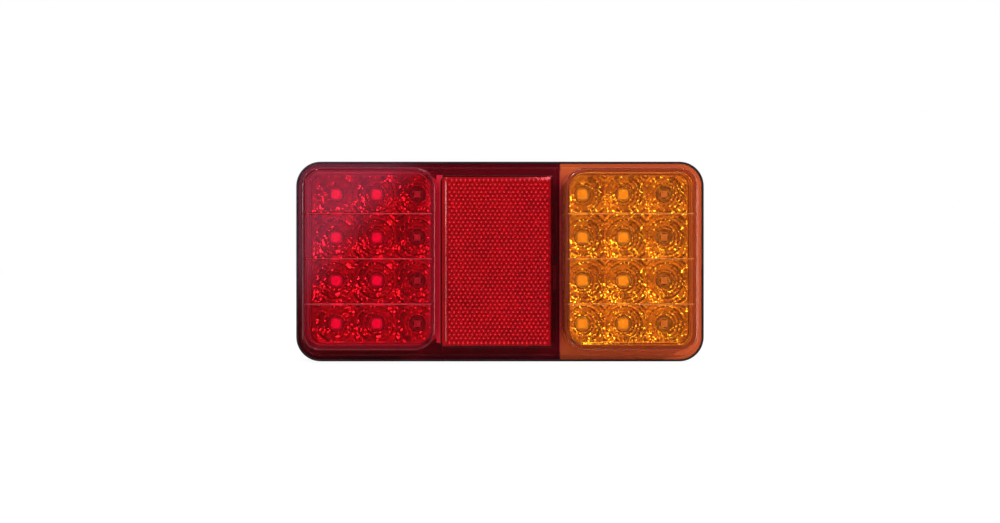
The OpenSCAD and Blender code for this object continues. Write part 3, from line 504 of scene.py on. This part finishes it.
def makeBowls(colour, side):
    v = bowls
    (x0, x1), (y0, y1), (pinTip, rimZ) = faceBox(f"{colour}_reflector_bowls")
    boardZ = faceBox(f"{colour}_led_board")[2][1]
    footZ = boardZ + v["footH"]
    centres = ledCentres(colour)
    pitchX = centres[1][0] - centres[0][0]
    pitchY = centres[0][1] - centres[3][1]
    junction = math.hypot(pitchX, pitchY) / 2
    focus = (junction ** 2 - v["startR"] ** 2) / (rimZ - footZ)
    radii = [v["nearR"], v["outerR"], v["outerR"], v["nearR"]]
    if side < 0:
        radii = [v["outerR"], v["nearR"], v["nearR"], v["outerR"]]
    inner = (x0 + v["rimT"], x1 - v["rimT"], y0 + v["rimT"], y1 - v["rimT"])
    innerRadii = [r - v["rimT"] for r in radii]
    span = junction + v["reach"] - v["startR"]
    rings = len(v["facets"])
    ringR = [v["startR"] + span * (k / rings) ** v["growth"] for k in range(rings + 1)]

    def base(r):
        return footZ + (r * r - v["startR"] ** 2) / focus

    shape, forms = Shape(), facetForms()
    halfX, halfY = pitchX / 2 - v["parting"], pitchY / 2 - v["parting"]
    for index, (cx, cy) in enumerate(centres):
        column, row = index % 3, index // 3
        cell = (inner[0] if column == 0 else cx - halfX, inner[1] if column == 2 else cx + halfX,
                inner[2] if row == 3 else cy - halfY, inner[3] if row == 0 else cy + halfY)
        starts = []
        for angle, far in cellRays((cx, cy), cell, inner, innerRadii, v["rays"]):
            starts.append(len(shape.points))
            points = bowlColumn(angle, far, ringR, base, forms, boardZ, footZ)
            shape.points += [(cx + r * math.cos(angle), cy + r * math.sin(angle), z) for r, z in points]
        n = len(points)
        for p, q in zip(starts, starts[1:] + starts[:1]):
            shape.faces += [(p + i, q + i, q + (i + 1) % n, p + (i + 1) % n) for i in range(n)]
    soft, wall = v["rimEdge"], v["rimT"] + v["rimFoot"]
    section = [(0, boardZ), (0, rimZ - soft), (soft, rimZ), (wall - soft, rimZ), (wall, rimZ - soft),
               (wall, boardZ)]
    loops = []
    for d, z in section:
        outline = roundedOutline(x0 + d, x1 - d, y0 + d, y1 - d, [r - d for r in radii])
        loops.append(shape.loop(outline, z))
    for a, b in zip(loops, loops[1:] + loops[:1]):
        shape.wall(a, b)
    pin = [(v["pinR"] - v["pinEdge"], pinTip), (v["pinR"], pinTip + v["pinEdge"]),
           (v["pinR"], boardZ + v["pinSink"])]
    # one pin between the first two emitters, one between the last two
    for first, second in ((0, 1), (10, 11)):
        (xa, y), (xb, _) = centres[first], centres[second]
        shape.turned((xa + xb) / 2, y, pin)
    piece(f"{colour}BowlReflector", shape, bright,
          [f"{colour}_reflector_bowls"], v["crease"])


print("reflector bowls")
makeBowls("red", -1)
makeBowls("amber", 1)


# Light emitters: a body with a cut corner, two leads, a round cup full of resin and, in the shaded column, a
# bare chip. The other columns' bodies and resin glow with painted light; the shaded column has painted shade
# and a chip that glows faintly with painted light

emitter = {"bodyH": 1.2, "bodyEdge": 0.12, "footEdge": 0.05, "footH": 0.15, "cornerCut": 0.7, "points": 40,
           "cupR": 2.15, "cupLip": 0.1, "cupTaper": 0.35, "cupDepth": 0.5, "leadT": 0.2, "leadL": 0.55,
           "leadHalfW": 0.7, "resinGap": 0.01, "resinLip": 0.08, "domeRings": 6, "domeTip": 1e-3,
           "shadedColumns": (3,), "chipHalf": 1.7, "chipTop": 0.92, "chipEdge": 0.055, "chipGap": 0.005,
           "bodyCrease": 25, "resinCrease": 40, "chipCrease": 30}


def makeEmitter(colour, index, paintedGlowBody, resin):
    v = emitter
    node = f"{colour}_led_{index}"
    (x0, x1), (y0, y1), (z0, z1) = faceBox(node)
    cx, cy, half = (x0 + x1) / 2, (y0 + y1) / 2, (x1 - x0) / 2
    # the emitters of the shaded column get painted shade in place of the painted glow
    inShade = (index - 1) % 3 + 1 in v["shadedColumns"]
    bodyZ = z0 + v["bodyH"]
    cupZ = bodyZ - v["cupDepth"]

    # a square with a cut corner, with as many points as the cup, so that walls join them one to one
    def squareOutline(edge):
        points = []
        for i in range(v["points"]):
            a = tau * (i + 0.5) / v["points"]
            c, s = math.cos(a), math.sin(a)
            r = (half - edge) / max(abs(c), abs(s))
            if c > 0 and s > 0:
                r = min(r, (2 * half - v["cornerCut"] - edge) / (c + s))
            points.append((cx + r * c, cy + r * s))
        return points

    def cup(r):
        return circleOutline(cx, cy, r, v["points"], 0.5)

    body = Shape()
    body.stack([(squareOutline(v["footEdge"]), z0), (squareOutline(0), z0 + v["footH"]),
                (squareOutline(0), bodyZ - v["bodyEdge"]), (squareOutline(v["bodyEdge"]), bodyZ),
                (cup(v["cupR"] + v["cupLip"]), bodyZ), (cup(v["cupR"] - v["cupTaper"]), cupZ)])
    for sx in (-1, 1):
        xa, xb = cx + sx * (half - v["leadL"]), cx + sx * half
        ya, yb = cy - v["leadHalfW"], cy + v["leadHalfW"]
        lead = [(xa, ya), (xb, ya), (xb, yb), (xa, yb)]
        body.stack([(lead, z0), (lead, z0 + v["leadT"])])
    piece(f"{colour}Emitter{index}", body, shadedColumnBody if inShade else paintedGlowBody, [node], v["bodyCrease"])
    gap, domeR = v["resinGap"], v["cupR"] + v["resinLip"]
    fill = Shape()
    layers = [(cup(v["cupR"] - v["cupTaper"] + gap), cupZ + 2 * gap)]
    for k in range(v["domeRings"] + 1):
        a = math.pi / 2 * k / v["domeRings"]
        z = bodyZ + gap + (z1 - bodyZ - 2 * gap) * math.sin(a)
        layers.append((cup(domeR * math.cos(a) + v["domeTip"]), z))
    fill.stack(layers)
    piece(f"{colour}Window{index}", fill, shadedColumnResin if inShade else resin, (), v["resinCrease"])
    if inShade:
        h, top = v["chipHalf"], v["chipHalf"] * v["chipTop"]
        corners = ((-1, -1), (1, -1), (1, 1), (-1, 1))
        flat, face = [[(cx + sx * r, cy + sy * r) for sx, sy in corners] for r in (h, top)]
        faceZ = z1 - v["chipGap"]
        chip = Shape()
        chip.stack([(flat, bodyZ), (flat, faceZ - v["chipEdge"]), (face, faceZ)])
        piece(f"{colour}Chip{index}", chip, paintedGlowChip, (), v["chipCrease"])


print("emitters")
for i in range(1, 13):
    makeEmitter("red", i, redPaintedGlowBody, redPaintedGlowResin)
    makeEmitter("amber", i, amberPaintedGlowBody, amberPaintedGlowResin)


# Reflex reflector: a clear bevelled insert, and behind it a field of moulded prisms

reflex = {"cornerR": 3.2, "leastR": 0.4, "bevelW": 2.7, "bevelD": 1.6, "softEdge": 0.2, "softFoot": 0.6,
          "frontT": 2.0, "rim": 0.9, "band": 2.6, "rimRight": 0.8, "gap": 0.1, "bandGap": 0.05,
          "bandFlat": 0.01, "cornerSteps": 8, "padSteps": 6, "crease": 12,
          "pitch": 2.17, "rowPitch": 1.79, "cellShare": 0.575, "prismH": 1.2, "tipR": 0.38, "tipH": 0.22,
          "platePad": 0.3, "padSink": 0.02}


def makeInsert():
    v = reflex
    (x0, x1), (y0, y1), (z0, z1) = faceBox("reflex_reflector")
    shape = Shape()

    def outline(inset):
        r = max(v["cornerR"] - inset, v["leastR"])
        return roundedOutline(x0 + inset, x1, y0 + inset, y1 - inset, [r, square, square, r],
                              v["cornerSteps"])

    e, foot = v["softEdge"], v["softEdge"] * v["softFoot"]
    slope = v["bevelD"] / v["bevelW"]
    edgeZ = z1 - v["bevelD"]
    loops = shape.stack([(outline(0), z0), (outline(0), edgeZ - e * slope),
                         (outline(foot), edgeZ + foot * slope), (outline(v["bevelW"] - e), z1 - e * slope),
                         (outline(v["bevelW"] + e), z1)], closed=False)
    shape.cap(loops[-1])
    rim = v["rim"]
    recess = roundedOutline(x0 + rim, x1 - v["rimRight"], y0 + rim, y1 - rim, [square] * 4, v["cornerSteps"])
    low, high = shape.loop(recess, z0), shape.loop(recess, z1 - v["frontT"])
    shape.wall(low, high)
    shape.cap(high)
    shape.wall(low, loops[0])
    piece("reflexInsert", shape, insertGlass, ["reflex_reflector"], v["crease"])


# A staggered field of cells. Each is a six-sided cone whose rim rises and falls, with a small domed tip. The
# points that carry them are numbered row by row, and every other row is shifted by half a pitch
def prismTree():
    tree = bpy.data.node_groups.new("prism field", "GeometryNodeTree")
    tree.interface.new_socket("Geometry", in_out="OUTPUT", socket_type="NodeSocketGeometry")
    for kind, labels in (("NodeSocketInt", ("Columns", "Rows")),
                         ("NodeSocketFloat", ("Pitch", "Row Pitch", "Cell Radius", "Height", "Tip Radius",
                                              "Tip Height")),
                         ("NodeSocketMaterial", ("Cone Material", "Tip Material"))):
        for label in labels:
            tree.interface.new_socket(label, in_out="INPUT", socket_type=kind)
    new, link = tree.nodes.new, tree.links.new
    given, out = new("NodeGroupInput").outputs, new("NodeGroupOutput")
    maths = partial(mathsNode, tree)

    def dressed(mesh, label, chosen=None):
        node = new("GeometryNodeSetMaterial")
        link(mesh, node.inputs["Geometry"])
        link(given[label], node.inputs["Material"])
        if chosen is not None:
            link(chosen, node.inputs["Selection"])
        return node.outputs["Geometry"]

    def moved(mesh, **values):
        shift, node = new("ShaderNodeCombineXYZ"), new("GeometryNodeSetPosition")
        for axis, value in values.items():
            link(value, shift.inputs[axis])
        link(mesh, node.inputs["Geometry"])
        link(shift.outputs[0], node.inputs["Offset"])
        return node.outputs["Geometry"]

    index = new("GeometryNodeInputIndex").outputs[0]
    split = new("ShaderNodeSeparateXYZ")
    link(new("GeometryNodeInputPosition").outputs[0], split.inputs[0])
    cone = new("GeometryNodeMeshCone")
    cone.fill_type = "NGON"
    cone.inputs["Vertices"].default_value = 6
    link(given["Tip Radius"], cone.inputs["Radius Top"])
    link(given["Cell Radius"], cone.inputs["Radius Bottom"])
    link(given["Height"], cone.inputs["Depth"])
    # every other corner of the rim rises by half the height
    onRim = maths("LESS_THAN", split.outputs["Z"], maths("MULTIPLY", given["Height"], 0.1))
    raised = maths("MULTIPLY", maths("MULTIPLY", maths("MODULO", index, 2), onRim),
                   maths("MULTIPLY", given["Height"], 0.5))
    tip = new("GeometryNodeMeshUVSphere")
    tip.inputs["Segments"].default_value = 8
    tip.inputs["Rings"].default_value = 4
    link(given["Tip Radius"], tip.inputs["Radius"])
    squash = maths("SUBTRACT", maths("DIVIDE", given["Tip Height"], given["Tip Radius"]), 1.0)
    flat = maths("MULTIPLY", split.outputs["Z"], squash)
    cell = new("GeometryNodeJoinGeometry")
    link(moved(cone.outputs["Mesh"], Z=raised), cell.inputs[0])
    link(moved(moved(tip.outputs["Mesh"], Z=flat), Z=given["Height"]), cell.inputs[0])

    points = new("GeometryNodeMeshLine")
    link(maths("MULTIPLY", given["Columns"], given["Rows"]), points.inputs["Count"])
    points.inputs["Offset"].default_value = (0, 0, 0)
    column = maths("MODULO", index, given["Columns"])
    row = maths("FLOOR", maths("DIVIDE", maths("ADD", index, 0.5), given["Columns"]))
    stagger = maths("MULTIPLY", maths("MODULO", row, 2), 0.5)
    field = moved(points.outputs["Mesh"], X=maths("MULTIPLY", maths("ADD", column, stagger), given["Pitch"]),
                  Y=maths("MULTIPLY", row, given["Row Pitch"]))
    instances, realize = new("GeometryNodeInstanceOnPoints"), new("GeometryNodeRealizeInstances")
    link(field, instances.inputs["Points"])
    link(cell.outputs[0], instances.inputs["Instance"])
    instances.inputs["Rotation"].default_value = (0, 0, math.radians(30))
    link(instances.outputs["Instances"], realize.inputs["Geometry"])
    tips = maths("GREATER_THAN", split.outputs["Z"], given["Height"])
    cones = dressed(realize.outputs["Geometry"], "Cone Material")
    link(dressed(cones, "Tip Material", tips), out.inputs["Geometry"])
    return tree


# Runs a tree on an empty mesh with its inputs set by identifier, and returns the plain mesh
def grown(name, tree, values):
    obj = bpy.data.objects.new(name, bpy.data.meshes.new(name))
    bpy.context.scene.collection.objects.link(obj)
    modifier = obj.modifiers.new(name, "NODES")
    modifier.node_group = tree
    for item in tree.interface.items_tree:
        if item.item_type == "SOCKET" and item.in_out == "INPUT" and item.name in values:
            modifier[item.identifier] = values[item.name]
    bpy.context.view_layer.update()
    return evaluated(obj, name)


def makePrisms():
    v = reflex
    (x0, x1), (y0, y1), _ = faceBox("reflex_reflector")
    plateTop = faceBox("reflex_backing_plate")[2][1]
    left, right = x0 + v["band"], x1 - v["rimRight"] - v["gap"]
    low, high = y0 + v["rim"] + v["gap"], y1 - v["rim"] - v["gap"]
    cellR = v["pitch"] * v["cellShare"]
    columns = int((right - left - 2 * cellR - v["pitch"] / 2) / v["pitch"]) + 1
    rows = int((high - low - 2 * cellR) / v["rowPitch"]) + 1
    mesh = grown("reflexPrisms", prismTree(), {
        "Columns": columns, "Rows": rows, "Pitch": v["pitch"], "Row Pitch": v["rowPitch"],
        "Cell Radius": cellR, "Height": v["prismH"], "Tip Radius": v["tipR"], "Tip Height": v["tipH"],
        "Cone Material": prismBackWithPaintedGlow, "Tip Material": prismTipWithPaintedGlint})
    spareX = right - left - 2 * cellR - (columns - 0.5) * v["pitch"]
    spareY = high - low - 2 * cellR - (rows - 1) * v["rowPitch"]
    padTop = plateTop + v["platePad"]
    origin = (left + cellR + spareX / 2, low + cellR + spareY / 2, padTop - v["padSink"])
    for vertex in mesh.vertices:
        vertex.co = stood(*(c + o for c, o in zip(vertex.co, origin)))
    # a pad under the field, and the plain band at its left as high as the prisms
    edge, bandEnd = x0 + v["rim"] + v["gap"], left - v["bandGap"]
    pad = Shape()
    for xa, xb, r, top in ((left, right, square, padTop),
                           (edge, bandEnd, bandEnd - edge - v["bandFlat"], padTop + v["prismH"])):
        outline = roundedOutline(xa, xb, low, high, [r, square, square, r], v["padSteps"])
        pad.stack([(outline, plateTop), (outline, top)])
    bm = bmesh.new()
    bm.from_mesh(mesh)
    corners = [bm.verts.new(stood(*p)) for p in pad.points]
    for face in pad.faces:
        bm.faces.new([corners[i] for i in face]).material_index = mesh.materials.find(prismBackWithPaintedGlow.name)
    bm.to_mesh(mesh)
    bm.free()
    dress("reflexPrisms", mesh, None)


print("reflex reflector")
makeInsert()
makePrisms()


# The weld between the two lenses, and the matt roots of the grooves between the rows of bowls. A sink is how
# deep a rod's middle lies in the surface, and an end how far it stops short

seams = {"weldR": 0.3, "weldEnd": 3.6, "weldSink": 0.26, "plinthTop": 18.0, "rootR": 0.15, "rootSink": 0.31,
         "rootEnd": 1.6, "sides": 12, "crease": 50}


# A slim rod between two points on the face that lie level or one above the other
def addRod(shape, start, end, r):
    level = start[1] == end[1]
    ring = circleOutline(0, 0, r, seams["sides"])
    loops = []
    for x, y, z in (start, end):
        first = len(shape.points)
        shape.points += [(x, y + a, z + b) if level else (x + a, y, z + b) for a, b in ring]
        loops.append(list(range(first, len(shape.points))))
    shape.wall(*loops)
    shape.faces += [tuple(loops[0]), tuple(reversed(loops[1]))]


def seamMaterial(name, dark, light):
    return mottled(name, light, dark, light, 900, 0.6, None, {"Specular IOR Level": 0.2})


redSeam = seamMaterial("red weld and groove roots", (0.45, 0.035, 0.055), (0.60, 0.06, 0.09))
amberSeam = seamMaterial("amber groove roots", (0.62, 0.20, 0.04), (0.75, 0.27, 0.06))


def makeSeams(colour, side, material):
    v = seams
    (jointX, _), (y0, y1), _ = faceBox("amber_lens")
    front = faceBox(f"{colour}_lens")[2][1]
    centres = ledCentres(colour)
    shape = Shape()
    if side < 0:
        z = v["plinthTop"] - v["weldSink"]
        addRod(shape, (jointX, y0 + v["weldEnd"], z), (jointX, y1 - v["weldEnd"], z), v["weldR"])
    middle, reach = side * lens["blockX"], lens["halfX"] - v["rootEnd"]
    for row in range(3):
        y = (centres[3 * row][1] + centres[3 * row + 3][1]) / 2
        z = front - v["rootSink"]
        addRod(shape, (middle - reach, y, z), (middle + reach, y, z), v["rootR"])
    piece(f"{colour}Seams", shape, material, (), v["crease"])


print("seams")
makeSeams("red", -1, redSeam)
makeSeams("amber", 1, amberSeam)


# Studs with rolled threads, for the view from behind

stud = {"r": 2.5, "shankR": 2.7, "pitch": 0.8, "depth": 0.42, "sides": 20, "perTurn": 6, "runOut": 0.6,
        "runOutStep": 0.1, "chamfer": 0.7, "headH": 3.0, "headAf": 8.0, "headEdge": 0.35, "headSlope": 1.5,
        "shoulder": 0.01, "headSink": 0.2, "crease": 25}


# The thread stops short of the mounting face by its run-out, and the thicker shank begins at the face
def makeStuds():
    v = stud
    (x0, x1), _, (z0, z1) = faceBox("mounting_studs")
    headR = v["headAf"] / 2 / math.cos(math.pi / 6)
    headZ = z1 - v["headH"]
    shape = Shape()
    steps = int((-v["runOut"] - z0) / v["pitch"] * v["perTurn"])
    for x in (x0 + headR, x1 - headR):
        layers = []
        for k in range(steps + 1):
            z = z0 + (-v["runOut"] - z0) * k / steps
            ring = []
            for i in range(v["sides"]):
                phase = (k / v["perTurn"] + i / v["sides"]) % 1
                r = v["r"] - v["depth"] * abs(2 * phase - 1)
                r = min(r, v["r"] - v["chamfer"] + (z - z0))
                a = tau * i / v["sides"]
                ring.append((x + r * math.cos(a), r * math.sin(a)))
            layers.append((ring, z))
        for r, z in ((v["r"], -v["runOut"] + v["runOutStep"]), (v["r"], 0.0), (v["shankR"], v["shoulder"]),
                     (v["shankR"], headZ + v["headSink"])):
            layers.append((circleOutline(x, 0, r, v["sides"]), z))
        shape.stack(layers)
        shape.turned(x, 0, [(headR, headZ), (headR, z1 - v["headEdge"]),
                            (headR - v["headEdge"] * v["headSlope"], z1)], 6)
    piece("threadedStuds", shape, steel, ["mounting_studs"], v["crease"])


print("studs")
makeStuds()


# Camera, world, floor and lamps. Places are in metres, the camera's lens and sensor in mm

print("studio")
view = {"distance": 0.434, "lens": 31.83, "sensor": 36, "focusPlane": -0.016, "clip": 0.01}
cameraData = bpy.data.cameras.new("camera")
cameraData.sensor_width = view["sensor"]
cameraData.lens = view["lens"]
cameraData.clip_start = view["clip"]
camera = bpy.data.objects.new("camera", cameraData)
bpy.context.scene.collection.objects.link(camera)
camera.location = (0.0, view["focusPlane"] - view["distance"], 0.0)
camera.rotation_euler = (math.radians(90), 0, 0)
bpy.context.scene.camera = camera

# mirrored and inner are stops of (cosine to the lamp's axis, brightness). A slope is a direction's x or z
# over its part along that axis, and the lean is that of the veil's edge
studio = {
    "diffuse": 0.75, "mirrored": ((-1, 0.32), (0.05, 0.32), (0.3, 0.10), (0.8, 0.02), (1, 0.02)),
    "inner": ((-1, 1.2), (0.1, 1.2), (0.6, 0.80), (0.85, 0.15), (1, 0.15)),
    "stripSlope": -0.68, "stripHalf": 0.09, "stripCosine": 0.5, "strip": 9.0, "stripLow": 0.35,
    "stripBreakSlope": 0.065, "rightFrom": 0.9, "rightLight": 2.5,
    "patchesX": 8.0, "patchesZ": 7.0, "shiftX": 1.0, "shiftZ": -0.6, "patches": 0.6,
    "spotPower": 60.0, "spots": (40.0, 105.0, 90.0),
    "veilLean": 0.858, "veilFrom": 0.165, "veilTo": 0.235, "veilNarrow": (0.90, 0.94),
    "veilColor": (2.1, 0.5, 0.95),
    "floorShade": 0.2, "floorReach": 3.0, "floorGap": 0.0002, "floorWhite": 1.12}


# White for the camera. Mirrored rays and rays from inside the lens each see their own studio
def makeWorld():
    v = studio
    world = bpy.data.worlds.new("studio")
    bpy.context.scene.world = world
    world.use_nodes = True
    tree = world.node_tree
    tree.nodes.clear()
    new, link = tree.nodes.new, tree.links.new
    maths, blend = partial(mathsNode, tree), partial(blendNode, tree)
    coords, split, path = new("ShaderNodeTexCoord"), new("ShaderNodeSeparateXYZ"), new("ShaderNodeLightPath")
    link(coords.outputs["Generated"], split.inputs[0])

    def ramp(cosine, stops):
        node = new("ShaderNodeFloatCurve")
        curve = node.mapping.curves[0]
        top = max(level for _, level in stops)
        places = [((c + 1) / 2, level / top) for c, level in stops]
        for i, place in enumerate(places):
            if i < 2:
                curve.points[i].location = place
            else:
                curve.points.new(*place)
        node.mapping.update()
        link(maths("MULTIPLY", maths("ADD", cosine, 1.0), 0.5), node.inputs["Value"])
        return maths("MULTIPLY", node.outputs[0], top)

    x, z = split.outputs["X"], split.outputs["Z"]
    forward = maths("MULTIPLY", split.outputs["Y"], -1.0)
    mirrored, inner = ramp(forward, v["mirrored"]), ramp(forward, v["inner"])
    across, rising = maths("DIVIDE", x, forward), maths("DIVIDE", z, forward)
    # a narrow upright light on the left, brighter at its top, and a broad one beside the lamp on the right
    aside = maths("ABSOLUTE", maths("SUBTRACT", across, v["stripSlope"]))
    strip = maths("MULTIPLY", maths("LESS_THAN", aside, v["stripHalf"]),
                  maths("GREATER_THAN", forward, v["stripCosine"]))
    upper = maths("MULTIPLY", maths("GREATER_THAN", rising, v["stripBreakSlope"]), 1 - v["stripLow"])
    strip = maths("MULTIPLY", strip, maths("ADD", upper, v["stripLow"]))
    right = maths("MULTIPLY", maths("GREATER_THAN", x, v["rightFrom"]), v["rightLight"])
    mirrored = maths("ADD", mirrored, maths("ADD", maths("MULTIPLY", strip, v["strip"]), right))
    # what the bowls mirror behind the lens: bright and dark patches with small hot spots
    waves = maths("MULTIPLY", maths("SINE", maths("ADD", maths("MULTIPLY", x, v["patchesX"]), v["shiftX"])),
                  maths("SINE", maths("ADD", maths("MULTIPLY", z, v["patchesZ"]), v["shiftZ"])))
    inner = maths("MULTIPLY", inner, maths("ADD", maths("MULTIPLY", waves, v["patches"]), 1.0))
    spots = maths("POWER", maths("MAXIMUM", waves, 0.0), v["spotPower"])
    tinged = new("ShaderNodeCombineColor")
    for channel, level in zip(tinged.inputs, v["spots"]):
        link(maths("ADD", inner, maths("MULTIPLY", spots, level)), channel)
    # a pink veil of reflected light over the upper left
    slope = maths("SUBTRACT", maths("MULTIPLY", rising, v["veilLean"]), across)
    veil = rangeNode(tree, slope, v["veilFrom"], v["veilTo"], interpolation="SMOOTHSTEP")
    veiled = maths("MULTIPLY", veil, rangeNode(tree, forward, *v["veilNarrow"]))
    mirrored = blend(veiled, mirrored, v["veilColor"])
    light = blend(path.outputs["Is Glossy Ray"], (v["diffuse"],) * 3, mirrored)
    light = blend(path.outputs["Is Transmission Ray"], light, tinged.outputs[0])
    light = blend(path.outputs["Is Camera Ray"], light, (1.0, 1.0, 1.0))
    background = new("ShaderNodeBackground")
    link(light, background.inputs["Color"])
    link(background.outputs[0], new("ShaderNodeOutputWorld").inputs["Surface"])


makeWorld()


# White to the camera with a faint shadow. Mirrored rays and rays from the lens pass through it to the studio
def makeFloor():
    v = studio
    reach, z = v["floorReach"], cadBounds[0].z - v["floorGap"]
    corners = [(-reach, -reach, z), (reach, -reach, z), (reach, reach, z), (-reach, reach, z)]
    mesh = bpy.data.meshes.new("floor")
    mesh.from_pydata(corners, [], [(0, 1, 2, 3)])
    floor = bpy.data.objects.new("floor", mesh)
    bpy.context.scene.collection.objects.link(floor)
    material, matt = newMaterial("pale floor", (0.92, 0.92, 0.92),
                                 {"Roughness": 0.9, "Specular IOR Level": 0.0})
    tree = material.node_tree
    new, link, maths = tree.nodes.new, tree.links.new, partial(mathsNode, tree)
    path = new("ShaderNodeLightPath")
    lit, clear = new("ShaderNodeEmission"), new("ShaderNodeBsdfTransparent")
    lit.inputs["Strength"].default_value = v["floorWhite"]
    share = maths("MULTIPLY", path.outputs["Is Camera Ray"], 1 - v["floorShade"])
    passing = maths("MAXIMUM", path.outputs["Is Glossy Ray"], path.outputs["Is Transmission Ray"])
    shown, whole = new("ShaderNodeMixShader"), new("ShaderNodeMixShader")
    for mix, factor, first, second in ((shown, share, matt, lit), (whole, passing, shown, clear)):
        link(factor, mix.inputs["Fac"])
        link(first.outputs[0], mix.inputs[1])
        link(second.outputs[0], mix.inputs[2])
    link(whole.outputs[0], tree.nodes["Material Output"].inputs["Surface"])
    mesh.materials.append(material)


makeFloor()


# Area lamps that look at the part's origin. strength is their radiance. The spark isn't mirrored, because
# its image would be a hot spot on the lens fronts
lamps = {"spark": {"place": (0.75, -0.9, 0.45), "width": 0.12, "height": 0.12, "strength": 170.0,
                   "mirrored": False},
         "top": {"place": (0.0, -0.28, 1.3), "width": 1.2, "height": 0.45, "strength": 2.6,
                 "mirrored": True}}


def makeLamp(name, place, width, height, strength, mirrored):
    data = bpy.data.lights.new(name, "AREA")
    data.shape = "RECTANGLE"
    data.size, data.size_y = width, height
    data.energy = strength * math.pi * width * height
    lamp = bpy.data.objects.new(name, data)
    bpy.context.scene.collection.objects.link(lamp)
    lamp.location = place
    lamp.rotation_euler = (-Vector(place)).to_track_quat("-Z", "Y").to_euler()
    lamp.visible_glossy = mirrored


for name, values in lamps.items():
    makeLamp(name, **values)

bpy.context.scene.view_settings.view_transform = "Standard"
